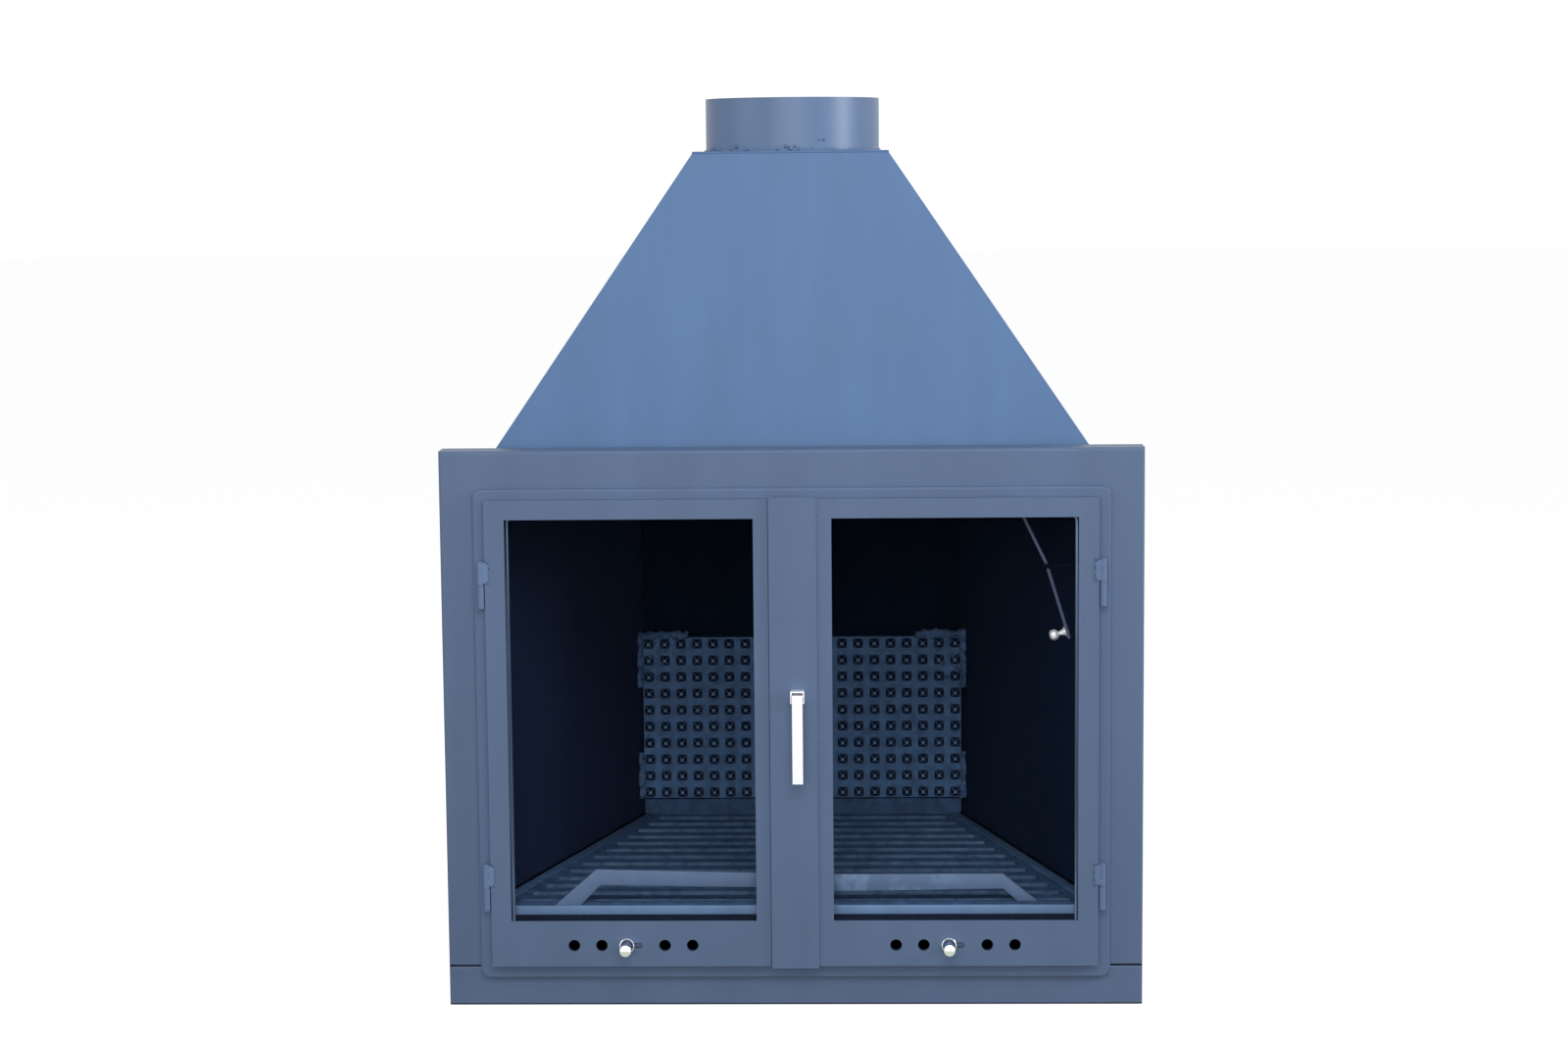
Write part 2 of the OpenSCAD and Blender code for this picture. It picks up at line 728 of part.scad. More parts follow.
// The cast fireback stands on a ledge and is held by clips at its corners
plate_y0 = inner_y1 - fireback_t;
plate_margin = 10;
plate_edge = min((stud_cols - 1) * stud_pitch_x / 2 + plate_margin, half_w(inner_y1) - 1);
plate_z0 = grate_z + ledge_h;
plate_h = (stud_rows - 1) * stud_pitch_z + 2 * plate_margin;
module fireback() {
    y1 = plate_y0 + gap;
    color(cast) {
        box([-plate_edge, plate_y0, plate_z0], [plate_edge, inner_y1 - gap, plate_z0 + plate_h]);
        for (i = [0:stud_cols - 1], j = [0:stud_rows - 1])
            translate([(i - (stud_cols - 1) / 2) * stud_pitch_x, y1, plate_z0 + plate_margin + j * stud_pitch_z])
                rotate([90, 45, 0]) cylinder(d1 = stud_base * sqrt(2), d2 = stud_tip * sqrt(2),
                    h = stud_h + gap, $fn = 4);
    }
}
// Bars welded into the corners between the plate and the walls, at the top with a bar along the plate
bead_t = 4;
bead_w = 11;
bead_l = 72;
module corner_bead(z0, z1) {
    slab(z0, z1) intersection() {
        plan(plate_y0 - bead_t, plate_y0);
        translate([plate_edge - 1, plate_y0 - bead_t]) square(bead_w);
    }
}
module fireback_clips() {
    z1 = plate_z0 + plate_h;
    color(dark_steel) both_sides() {
        slab(z1, z1 + bead_w) intersection() {
            plan(plate_y0 - bead_t, inner_y1);
            translate([plate_edge - bead_l, plate_y0 - bead_t]) square(bead_l + bead_w);
        }
        corner_bead(z1 - bead_l, z1);
        corner_bead(plate_z0, plate_z0 + bead_l);
    }
}
ledge_t = 3;
module rear_ledge() {
    z1 = plate_z0 - ledge_t;
    color(steel) {
        box([-plate_edge, plate_y0, z1], [plate_edge, inner_y1, plate_z0]);
        box([-plate_edge, plate_y0, grate_z - grate_t], [plate_edge, plate_y0 + ledge_t, z1]);
    }
}

// The damper: a flap on a shaft across the firebox, lifted into the hood by a bent lever
flap_z = shaft_z + shaft_d / 2;
shelf_t = 4;
flap_y0 = face_y + shaft_y - shaft_d / 2;
shelf_setback = 110;
shelf_y0 = face_y + shelf_setback;
shelf_lap = 10;
shaft_at = face_y + shaft_y;
module smoke_shelf() {
    z1 = flap_z - gap;
    color(dark_steel) slab(z1 - shelf_t, z1) difference() {
        plan(shelf_y0, inner_y1, -gap);
        translate([-flap_w / 2 + shelf_lap, shelf_y0 - eps])
            square([flap_w - 2 * shelf_lap, flap_y0 + flap_l - shelf_lap - shelf_y0 + eps]);
    }
}
bearing_wall = 6;
bearing_d = shaft_d + 2 * bearing_wall;
bearing_l = 20;
module shaft_bearings() {
    x1 = half_w(shaft_at);
    color(dark_steel) both_sides() difference() {
        intersection() {
            along_x(shaft_at, shaft_z, x1 - bearing_l, x1 + bearing_l, bearing_d);
            slab(shaft_z - bearing_d, shaft_z + bearing_d) plan(inner_y0, inner_y1);
        }
        along_x(shaft_at, shaft_z, x1 - bearing_l - eps, x1 + bearing_l, shaft_d + 2 * run);
    }
}
shaft_half = half_w(shaft_at) - bearing_l / 2 + eps;
module damper_shaft() {
    color("silver") along_x(shaft_at, shaft_z, -shaft_half, shaft_half, shaft_d);
}
module damper_flap() {
    color(dark_steel) box([-flap_w / 2, flap_y0, flap_z], [flap_w / 2, flap_y0 + flap_l, flap_z + flap_t]);
}
// The lever's line from the shaft down to the knob: distances from the wall's front and below the shaft
lever_in = [121, 121, 79, 47];
lever_drop = [-12, 32, 118, 223];
lever_line = [for (i = [0:3]) [firebox_front_w / 2 - lever_in[i], shaft_z - lever_drop[i]]];
function unit(v) = v / norm(v);
// Offset of the line at point i to one side, mitred at the bends
function lever_side(i, s) =
    let (a = unit(lever_line[max(i, 1)] - lever_line[max(i, 1) - 1]),
        b = unit(lever_line[min(i + 1, 3)] - lever_line[min(i + 1, 3) - 1]),
        m = unit(a + b), n = [-m[1], m[0]])
    lever_line[i] + n * s * lever_t / 2 / (n * [-a[1], a[0]]);
module damper_lever() {
    color(dark_steel) difference() {
        upright(shaft_at - lever_w / 2, shaft_at + lever_w / 2)
            polygon(concat([for (i = [0:3]) lever_side(i, 1)], [for (i = [3:-1:0]) lever_side(i, -1)]));
        along_x(shaft_at, shaft_z, lever_line[0][0] - lever_t, lever_line[0][0] + lever_t, shaft_d);
        translate([knob_at[0], shaft_at, knob_at[1]])
            rotate([0, -atan2(lever_dir[0], -lever_dir[1]), 0]) rotate([0, 90, 0])
                translate([0, 0, -eps]) cylinder(d = knob_stem_d, h = lever_t + 2 * eps);
    }
}
// The knob stands square to the lever's lower end, and its stem goes through the lever
lever_dir = unit(lever_line[3] - lever_line[2]);
knob_up = 10;
damper_flange_d = 15;
damper_flange_t = 2.5;
damper_reach = 17;
knob_at = lever_line[3] - knob_up * lever_dir + lever_t / 2 * [lever_dir[1], -lever_dir[0]];
module damper_knob() {
    color(chrome) translate([knob_at[0], shaft_at, knob_at[1]])
        rotate([0, -atan2(lever_dir[0], -lever_dir[1]), 0]) rotate([0, 0, -90])
            knob(damper_flange_d, damper_flange_t, damper_reach, lever_t + 2);
}
peg_d = 6;
peg_in = 85;
peg_drop = 121;
peg_x = firebox_front_w / 2 - peg_in;
peg_z = shaft_z - peg_drop;
module lever_peg() {
    y = shaft_at - lever_w / 2 - peg_d / 2 - gap;
    color(dark_steel) intersection() {
        along_x(y, peg_z, peg_x, firebox_front_w / 2, peg_d);
        slab(peg_z - peg_d, peg_z + peg_d) plan(inner_y0, inner_y1);
    }
}

base_plate();
left_wall();
right_wall();
rear_wall();
top_frame();
hood_shell();
hood_top_plate();
flue_collar();
trim_frame();
sill_strip();
door_rim();
smoke_shelf();
shaft_bearings();
lever_peg();
fireback();
fireback_clips();
rear_ledge();
grate_rails();
grate();
front_bar();
log_guard();
rim_hinge_halves();
hinge_pins();
left_door_frame();
left_glass();
left_glass_seal();
left_glass_clips();
left_hinge_halves();
left_slide_guides();
latch_keeper();
right_door_frame();
right_glass();
right_glass_seal();
right_glass_clips();
right_hinge_halves();
right_slide_guides();
cover_strip();
left_air_plate();
left_air_knob();
right_air_plate();
right_air_knob();
handle_tube_head();
handle_grip_bar();
latch_spindle();
latch_tongue();
damper_shaft();
damper_flap();
damper_lever();
damper_knob();
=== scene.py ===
"""A wood-burning fireplace insert: a welded steel firebox with a pyramid hood, a folded trim frame and
two glazed doors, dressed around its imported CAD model. Lengths are in metres unless a name says mm."""

import math

import bpy
from mathutils import Matrix, Vector, noise


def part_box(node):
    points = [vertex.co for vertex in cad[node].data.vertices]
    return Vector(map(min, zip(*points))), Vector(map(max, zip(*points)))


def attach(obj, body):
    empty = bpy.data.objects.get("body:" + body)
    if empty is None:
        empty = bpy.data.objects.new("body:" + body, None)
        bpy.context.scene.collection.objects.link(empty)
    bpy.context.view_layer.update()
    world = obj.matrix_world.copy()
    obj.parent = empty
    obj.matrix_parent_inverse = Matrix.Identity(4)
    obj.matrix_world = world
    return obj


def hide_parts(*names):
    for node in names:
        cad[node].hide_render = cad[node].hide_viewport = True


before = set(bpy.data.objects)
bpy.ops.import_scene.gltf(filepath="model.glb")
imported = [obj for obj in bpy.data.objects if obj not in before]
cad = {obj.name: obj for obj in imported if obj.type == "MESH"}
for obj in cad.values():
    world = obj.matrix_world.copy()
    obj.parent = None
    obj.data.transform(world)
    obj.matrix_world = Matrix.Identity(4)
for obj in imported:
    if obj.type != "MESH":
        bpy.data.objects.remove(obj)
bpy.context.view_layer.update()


# The view: a long lens from a little right of the middle, at the height of the hood's collar, turned
# down to the doors. The photograph is 1600 by 1066 pixels.
def camera_turn(yaw, pitch, roll):
    """the camera's axes for a view along +Y that is turned right, tipped down and rolled"""
    forward = Vector((math.sin(yaw) * math.cos(pitch), math.cos(yaw) * math.cos(pitch), -math.sin(pitch)))
    right = Vector((math.cos(yaw), -math.sin(yaw), 0))
    up = right.cross(forward)
    right, up = (math.cos(roll) * right + math.sin(roll) * up,
                 math.cos(roll) * up - math.sin(roll) * right)
    return Matrix((right, up, -forward)).transposed().to_4x4()


focal_px, photo_px = 3056.5, 1600
lens = bpy.data.cameras.new("view")
lens.sensor_width = 36
lens.lens = focal_px / photo_px * lens.sensor_width
camera = bpy.data.objects.new("view", lens)
camera.matrix_world = Matrix.Translation((0.10405, -4.3618, 1.1624)) @ camera_turn(-0.0278, 0.1176, -0.0090)
bpy.context.scene.collection.objects.link(camera)
bpy.context.scene.camera = camera
bpy.context.scene.view_settings.view_transform = "Standard"


# The studio: a white floor that keeps the insert's soft shadow and a white world. The world lights the
# object at a middling level and is seen as pure white by the camera and in the plated metal.
def linear(code):
    """a colour written as sRGB hex, as the linear red, green, blue and alpha that a shader takes"""
    parts = [int(code[i:i + 2], 16) / 255 for i in (1, 3, 5)]
    return [c / 12.92 if c <= 0.04045 else ((c + 0.055) / 1.055) ** 2.4 for c in parts] + [1]


def add_node(tree, kind, settings=(), links=()):
    """a shader node: settings by attribute or socket, and links from sockets or nodes' first outputs"""
    made = tree.nodes.new(kind)
    for key, value in dict(settings).items():
        if isinstance(key, str) and hasattr(made, key) and key not in made.inputs:
            setattr(made, key, value)
        else:
            made.inputs[key].default_value = value
    for key, source in dict(links).items():
        if isinstance(source, bpy.types.Node):
            source = source.outputs[0]
        tree.links.new(source, made.inputs[key])
    return made


def new_material(name):
    """an empty material and its node tree"""
    made = bpy.data.materials.new(name)
    made.use_nodes = True
    made.node_tree.nodes.clear()
    return made, made.node_tree


world = bpy.data.worlds.new("white studio")
bpy.context.scene.world = world
world.use_nodes = True
sky = world.node_tree
sky.nodes.clear()
sky_ray = add_node(sky, "ShaderNodeLightPath")
seen = add_node(sky, "ShaderNodeMath", {"operation": "MAXIMUM"},
                {0: sky_ray.outputs["Is Camera Ray"], 1: sky_ray.outputs["Is Transmission Ray"]})
seen = add_node(sky, "ShaderNodeMath", {"operation": "MAXIMUM"},
                {0: seen, 1: sky_ray.outputs["Is Glossy Ray"]})
soft = add_node(sky, "ShaderNodeBackground", {"Color": linear("#F4F7FC"), "Strength": 0.34})
white = add_node(sky, "ShaderNodeBackground", {"Color": (1, 1, 1, 1), "Strength": 1.08})
either = add_node(sky, "ShaderNodeMixShader", (), {0: seen, 1: soft, 2: white})
add_node(sky, "ShaderNodeOutputWorld", (), {0: either})

bpy.ops.object.select_all(action="DESELECT")
bpy.ops.mesh.primitive_plane_add(size=60, location=(0, 8, -0.0005))
floor = bpy.context.object
floor.name = "floor"
white_floor, tree = new_material("white studio floor")
floor_ray = add_node(tree, "ShaderNodeLightPath")
matt = add_node(tree, "ShaderNodeBsdfDiffuse", {"Color": linear("#A8A8A8")})
dim = add_node(tree, "ShaderNodeBsdfDiffuse", {"Color": linear("#8E8E8E")})
lift = add_node(tree, "ShaderNodeEmission", {"Color": (1, 1, 1, 1), "Strength": 0.86})
glow = add_node(tree, "ShaderNodeAddShader", (), {0: matt, 1: lift})
shown = add_node(tree, "ShaderNodeMath", {"operation": "MAXIMUM"},
                 {0: floor_ray.outputs["Is Camera Ray"], 1: floor_ray.outputs["Is Glossy Ray"]})
flat_white = add_node(tree, "ShaderNodeMixShader", (), {0: shown, 1: dim, 2: glow})
add_node(tree, "ShaderNodeOutputMaterial", (), {0: flat_white})
floor.data.materials.append(white_floor)


def softbox(name, place, aim, size, power):
    """a large square lamp that looks at a point"""
    data = bpy.data.lights.new(name, "AREA")
    data.shape, data.size, data.size_y, data.energy = "RECTANGLE", size[0], size[1], power
    lamp = bpy.data.objects.new(name, data)
    bpy.context.scene.collection.objects.link(lamp)
    gaze = (Vector(aim) - Vector(place)).to_track_quat("-Z", "Y")
    lamp.matrix_world = Matrix.Translation(place) @ gaze.to_matrix().to_4x4()


softbox("above the doors", (0.2, -2.1, 2.1), (0, -0.25, 0.7), (1.4, 0.8), 19)
softbox("right side", (2.5, -0.95, 1.35), (0, -0.2, 0.9), (0.9, 1.0), 30)
softbox("left side", (-2.3, -1.5, 1.3), (0, -0.2, 0.8), (2.0, 1.6), 10)
softbox("behind the camera", (-0.3, -4.9, 1.5), (0, 0.2, 0.5), (3.6, 2.2), 57)


# The hood's four slopes are cut from mild steel sheet and welded along their edges, which are then ground
# round, and its square top is let in and dressed flush. The satin stove paint is sprayed on from a can. It
# leaves a fine orange peel, a little unevenness in tone, and long shallow runs down the upright faces.
def shaded(code, factor):
    """a colour in linear values, made darker or lighter by a factor"""
    return [c * factor for c in linear(code)[:3]] + [1]


def satin_paint(name, code, tone=0.06, peel=0.5, rough=0.46, sheen=0.3):
    """stove paint in one colour: cloudy by a few per cent over 150 mm, with 1.5 mm orange peel"""
    made, tree = new_material(name)
    place = add_node(tree, "ShaderNodeTexCoord").outputs["Object"]
    cloud = add_node(tree, "ShaderNodeTexNoise", {"Scale": 1 / 0.15, "Detail": 4, "Roughness": 0.55},
                     {"Vector": place})
    stretch = add_node(tree, "ShaderNodeMapping", {"Scale": (1 / 0.05, 1 / 0.05, 1 / 0.6)}, {"Vector": place})
    runs = add_node(tree, "ShaderNodeTexNoise", {"Scale": 1.0, "Detail": 3}, {"Vector": stretch})
    both = add_node(tree, "ShaderNodeMath", {"operation": "MULTIPLY_ADD", 1: 0.6}, {0: cloud, 2: runs})
    ramp = add_node(tree, "ShaderNodeMapRange", {"From Min": 0.55, "From Max": 1.05}, {"Value": both})
    colour = add_node(tree, "ShaderNodeMix", {
        "data_type": "RGBA", 6: shaded(code, 1 - tone), 7: shaded(code, 1 + tone)}, {0: ramp})
    grain = add_node(tree, "ShaderNodeTexNoise", {"Scale": 1 / 0.0015, "Detail": 2}, {"Vector": place})
    bump = add_node(tree, "ShaderNodeBump", {"Strength": peel, "Distance": 0.00006}, {"Height": grain})
    wave = add_node(tree, "ShaderNodeBump", {"Strength": 0.35, "Distance": 0.0004},
                    {"Height": runs, "Normal": bump})
    shine = add_node(tree, "ShaderNodeMapRange", {"To Min": rough - 0.05, "To Max": rough + 0.07},
                     {"Value": cloud})
    skin = add_node(tree, "ShaderNodeBsdfPrincipled", {"IOR": 1.5, "Specular IOR Level": sheen},
                    {"Base Color": colour.outputs[2], "Roughness": shine, "Normal": wave})
    add_node(tree, "ShaderNodeOutputMaterial", (), {0: skin})
    return made


def finish(piece, material):
    """one material on a whole piece or CAD node"""
    piece.data.materials.clear()
    piece.data.materials.append(material)


def fit(piece, material, body, replaced=None):
    """a piece's material, the body that it rides on and the CAD node that it replaces"""
    finish(piece, material)
    if replaced:
        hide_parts(replaced)
    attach(piece, body)


def round_edges(piece, width, segments, corner=30, smooth=50):
    """bevels edges that turn by more than one angle and shades those below the other smooth (degrees)"""
    bevel = piece.modifiers.new("rounded edges", "BEVEL")
    bevel.width, bevel.segments, bevel.limit_method = width, segments, "ANGLE"
    bevel.angle_limit = math.radians(corner)
    bpy.ops.object.modifier_apply(modifier=bevel.name)
    bpy.ops.object.shade_smooth_by_angle(angle=math.radians(smooth))


def softened(name, node, body, material, width, segments=2):
    """a copy of a CAD node with its loose triangles merged and its sharp edges rounded"""
    bpy.ops.object.select_all(action="DESELECT")
    piece = bpy.data.objects.new(name, cad[node].data.copy())
    bpy.context.scene.collection.objects.link(piece)
    piece.select_set(True)
    bpy.context.view_layer.objects.active = piece
    bpy.ops.object.mode_set(mode="EDIT")
    bpy.ops.mesh.select_all(action="SELECT")
    bpy.ops.mesh.remove_doubles(threshold=0.000004)
    bpy.ops.mesh.dissolve_limited(angle_limit=math.radians(0.5))
    bpy.ops.object.mode_set(mode="OBJECT")
    round_edges(piece, width, segments, corner=40, smooth=35)
    level = piece.modifiers.new("flat faces", "WEIGHTED_NORMAL")
    level.keep_sharp = True
    bpy.ops.object.modifier_apply(modifier=level.name)
    fit(piece, material, body, node)
    return piece


# the hood gets the front's paint made bluer and a little lighter: painted sky light on its slopes, which tip
# up towards the sky
hood_paint_sky_light = satin_paint("satin stove paint, hood, with painted sky light", "#5375A1")
softened("hood_slopes", "hood_shell", "firebox", hood_paint_sky_light, 0.0022)
softened("hood_lid", "hood_top_plate", "firebox", hood_paint_sky_light, 0.0016)


# The flue collar is rolled from a strip of sheet and welded all round to the hood's top plate. The bead
# is lumpy, with spatter beside it, and everything is under the same paint.
def lumpy(piece, height, size, seed):
    """moves a mesh's points in and out along their normals by two sizes of noise"""
    piece.data.update()
    shift = Vector((seed * 7.1, seed * 3.3, seed * 1.7))
    normals = [v.normal.copy() for v in piece.data.vertices]
    for v, n in zip(piece.data.vertices, normals):
        coarse = noise.noise(v.co / size + shift)
        fine = noise.noise(v.co / (size * 0.35) - shift)
        v.co += n * height * (coarse + 0.5 * fine)


def swept(name, path, radius, steps):
    """a rod along a path of points: a disc pushed along it, turned square to the path at each point"""
    path = [Vector(p) for p in path]
    bpy.ops.object.select_all(action="DESELECT")
    start = (path[1] - path[0]).to_track_quat("Z", "Y")
    bpy.ops.mesh.primitive_circle_add(vertices=steps, radius=radius, fill_type="NGON")
    piece = bpy.context.object
    piece.name = name
    piece.data.transform(Matrix.Translation(path[0]) @ start.to_matrix().to_4x4())
    bpy.ops.object.mode_set(mode="EDIT")
    bpy.ops.mesh.select_all(action="SELECT")
    turn = start
    for i in range(1, len(path)):
        ahead = path[min(i + 1, len(path) - 1)] - path[i - 1]
        now = ahead.to_track_quat("Z", "Y")
        bpy.ops.mesh.extrude_region_move(TRANSFORM_OT_translate={"value": path[i] - path[i - 1]})
        change = now @ turn.inverted()
        if abs(change.to_axis_angle()[1]) > 0.0001:
            bent = Matrix.Translation(path[i]) @ change.to_matrix().to_4x4() @ Matrix.Translation(-path[i])
            bpy.ops.object.mode_set(mode="OBJECT")
            for v in piece.data.vertices:
                if v.select:
                    v.co = bent @ v.co
            bpy.ops.object.mode_set(mode="EDIT")
        turn = now
    bpy.ops.mesh.select_all(action="SELECT")
    bpy.ops.mesh.normals_make_consistent(inside=False)
    bpy.ops.object.mode_set(mode="OBJECT")
    bpy.ops.object.shade_smooth()
    return piece


def joined(name, pieces):
    """several pieces made one"""
    bpy.ops.object.select_all(action="DESELECT")
    for piece in pieces:
        piece.select_set(True)
    bpy.context.view_layer.objects.active = pieces[0]
    bpy.ops.object.join()
    pieces[0].name = name
    return pieces[0]


collar_low, collar_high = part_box("flue_collar")
collar_r = collar_high.x
collar_paint = satin_paint("satin stove paint, collar", "#5F789C", tone=0.08, rough=0.36, sheen=0.42)
finish(cad["flue_collar"], collar_paint)
bpy.ops.object.select_all(action="DESELECT")
bpy.ops.mesh.primitive_torus_add(major_radius=collar_r + 0.0002, minor_radius=0.0021, major_segments=480,
                                 minor_segments=10)
bead = bpy.context.object
bead.data.transform(Matrix.Translation((0, 0, collar_low.z)))
lumpy(bead, 0.0030, 0.008, 1)
# spatter and a restart of the bead: degrees round from the front, height and size in mm
spots = ((-66, 2, 3.0), (-62, 6, 2.4), (-58, 3, 2.8), (-55, 2.5, 2.4), (-42, 3, 3.0), (-38, 6, 2.4),
         (-30, 2.5, 2.8), (-24, 1, 2.0), (-8, 3, 2.6), (-3, 6, 2.6), (0, 3, 3.4), (3, 7, 2.2), (6, 2.5, 3.0),
         (10, 1, 2.4), (14, 2, 2.4), (19, 15, 1.6), (22, 15.5, 1.5), (100, 3, 2.4), (170, 3, 3.0),
         (215, 2, 2.4), (262, 2, 2.2))
spot_r = collar_r + 0.0003
beads = [bead]
for n, (turn, up, size) in enumerate(spots):
    bpy.ops.mesh.primitive_ico_sphere_add(subdivisions=3, radius=size / 1000)
    drop = bpy.context.object
    angle = math.radians(turn - 90)
    drop.data.transform(Matrix.Translation((spot_r * math.cos(angle), spot_r * math.sin(angle),
                                            collar_low.z + up / 1000)))
    lumpy(drop, 0.0016, 0.003, n + 20)
    beads.append(drop)
bead = joined("collar_weld", beads)
# no part of the weld reaches more than 0.4 mm into the hood's top plate
for v in bead.data.vertices:
    v.co.z = max(v.co.z, collar_low.z - 0.0004)
bpy.ops.object.shade_smooth()
fit(bead, collar_paint, "firebox")


# The trim is one sheet folded back at its top and sides, and the sill strip below its seam is another.
# The folds are press-brake bends, so the CAD solids' own rounded corners show, under the same paint.
front_paint = satin_paint("satin stove paint, front", "#5A6E8D")
for node in ("trim_frame", "sill_strip", "door_rim"):
    finish(cad[node], front_paint)


# Each door is a pan of folded sheet with its window cut out. The folded corners are soft and catch a thin
# line of light. The window's cut edges are painted near black as painted shade, for the shade in the window's
# returns.
window_edge_shade = satin_paint("painted shade on the window's edge", "#0B1726", tone=0.2, peel=1.0, rough=0.8,
                         sheen=0.0)
stile_w, rail_h, top_h = 0.02, 0.07, 0.01  # a little less than the borders of the window
holes_low, holes_high = 0.015, 0.05  # the air holes lie between these heights over the pan's foot
for side in ("left", "right"):
    door = side + "_door"
    pan = softened(door + "_pan", door + "_frame", door, front_paint, 0.0009)
    pan.data.materials.append(window_edge_shade)
    low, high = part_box(door + "_frame")
    for face in pan.data.polygons:
        place, slant = face.center, abs(face.normal.y)
        between = low.x + stile_w < place.x < high.x - stile_w
        window = low.z + rail_h < place.z < high.z - top_h and slant < 0.4 and place.y < high.y - 0.001
        # the edges of the air holes get the same painted shade
        hole = low.z + holes_low < place.z < low.z + holes_high and slant < 0.98
        if between and (window or hole):
            face.material_index = 1
softened("strip", "cover_strip", "right_door", front_paint, 0.0008)


# A glass-fibre rope, pressed flat, lies round the rim's opening in a bed of cement, and the doors close on
# it. It is made black partly as painted shade: through the panes it shows as the dark line of shade beside
# the frames.
rope_black_as_shade, tree = new_material("black glass-fibre rope")
place = add_node(tree, "ShaderNodeTexCoord").outputs["Object"]
strands = add_node(tree, "ShaderNodeTexWave", {
    "Scale": 1 / 0.012, "Distortion": 0.6, "bands_direction": "DIAGONAL"}, {"Vector": place})
black = add_node(tree, "ShaderNodeMix", {"data_type": "RGBA", 6: linear("#05080C"), 7: linear("#1A2430")},
                 {0: strands})
twist = add_node(tree, "ShaderNodeBump", {"Strength": 0.8, "Distance": 0.0006}, {"Height": strands})
skin = add_node(tree, "ShaderNodeBsdfPrincipled", {"Roughness": 0.95, "Specular IOR Level": 0.05},
                {"Base Color": black.outputs[2], "Normal": twist})
add_node(tree, "ShaderNodeOutputMaterial", (), {0: skin})
rim_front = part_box("door_rim")[0].y


def seal_ring(name, half, low, high, y, radius, material):
    """a bead laid round the opening with 14 mm corners and pressed to half its thickness"""
    corner = 0.014
    path = [(0, y, low)]
    for x, z, start in ((half, low, -90), (half, high, 0), (-half, high, 90), (-half, low, 180)):
        middle_x, middle_z = x - math.copysign(corner, x), z + (corner if z == low else -corner)
        for step in range(7):
            angle = math.radians(start + 15 * step)
            path.append((middle_x + corner * math.cos(angle), y, middle_z + corner * math.sin(angle)))
    path += [(-0.001, y, low), (0.001, y, low)]
    ring = swept(name, path, radius, 12)
    ring.data.transform(Matrix.Translation((0, y, 0)) @ Matrix.Diagonal((1, 0.5, 1, 1))
                        @ Matrix.Translation((0, -y, 0)))
    fit(ring, material, "firebox")


seal_ring("rope_seal", 0.3957, 0.066, 0.6965, rim_front - 0.0014, 0.0027, rope_black_as_shade)
# the cement bed is pale blue-grey as a painted highlight: it stands for the lit inner edge of the rim, seen
# as a light line through the panes
cement_painted_highlight = satin_paint("fire cement with a painted highlight", "#8DA8CC", tone=0.1, peel=0.8, rough=0.7,
                          sheen=0.1)
seal_ring("cement_bed", 0.3915, 0.0705, 0.6922, rim_front - 0.0002, 0.0015, cement_painted_highlight)


# The panes are 4 mm heat-resistant glass, clear and almost without colour, held against a flat woven
# seal by small steel clips on their inner side.
pane, tree = new_material("clear ceramic glass")
slant = add_node(tree, "ShaderNodeLayerWeight", {"Blend": 0.25}).outputs["Facing"]
cover = add_node(tree, "ShaderNodeMapRange", {
    "From Min": 0.05, "From Max": 0.8, "To Min": 0.015, "To Max": 0.4}, {"Value": slant})
skin = add_node(tree, "ShaderNodeBsdfPrincipled", {
    "Base Color": linear("#04080E"), "Roughness": 0.02, "IOR": 1.5}, {"Alpha": cover})
add_node(tree, "ShaderNodeOutputMaterial", (), {0: skin})

woven, tree = new_material("woven glass-fibre tape")
place = add_node(tree, "ShaderNodeTexCoord").outputs["Object"]
cords = add_node(tree, "ShaderNodeTexWave", {
    "Scale": 1 / 0.004, "Distortion": 1.5, "bands_direction": "DIAGONAL"}, {"Vector": place})
tape = add_node(tree, "ShaderNodeMix", {"data_type": "RGBA", 6: linear("#070A0F"), 7: linear("#141A22")},
                {0: cords})
weave = add_node(tree, "ShaderNodeBump", {"Strength": 0.6, "Distance": 0.0004}, {"Height": cords})
skin = add_node(tree, "ShaderNodeBsdfPrincipled", {"Roughness": 0.9},
                {"Base Color": tape.outputs[2], "Normal": weave})
add_node(tree, "ShaderNodeOutputMaterial", (), {0: skin})


def drawn_steel(name, code, rough):
    """bare cold-drawn steel: fine lines along Z every 0.6 mm, drawn coarser than real to show"""
    made, tree = new_material(name)
    place = add_node(tree, "ShaderNodeTexCoord").outputs["Object"]
    along = add_node(tree, "ShaderNodeMapping", {"Scale": (1 / 0.0006, 1 / 0.0006, 1 / 0.02)},
                     {"Vector": place})
    lines = add_node(tree, "ShaderNodeTexNoise", {"Scale": 1.0, "Detail": 2}, {"Vector": along})
    shine = add_node(tree, "ShaderNodeMapRange", {"To Min": rough - 0.08, "To Max": rough + 0.1},
                     {"Value": lines})
    bump = add_node(tree, "ShaderNodeBump", {"Strength": 0.3, "Distance": 0.00005}, {"Height": lines})
    skin = add_node(tree, "ShaderNodeBsdfPrincipled", {"Base Color": linear(code), "Metallic": 1.0},
                    {"Roughness": shine, "Normal": bump})
    add_node(tree, "ShaderNodeOutputMaterial", (), {0: skin})
    return made


plain_steel = drawn_steel("drawn steel", "#9AA0A8", 0.38)
for side in ("left", "right"):
    finish(cad[side + "_glass"], pane)
    finish(cad[side + "_glass_seal"], woven)
    finish(cad[side + "_glass_clips"], plain_steel)


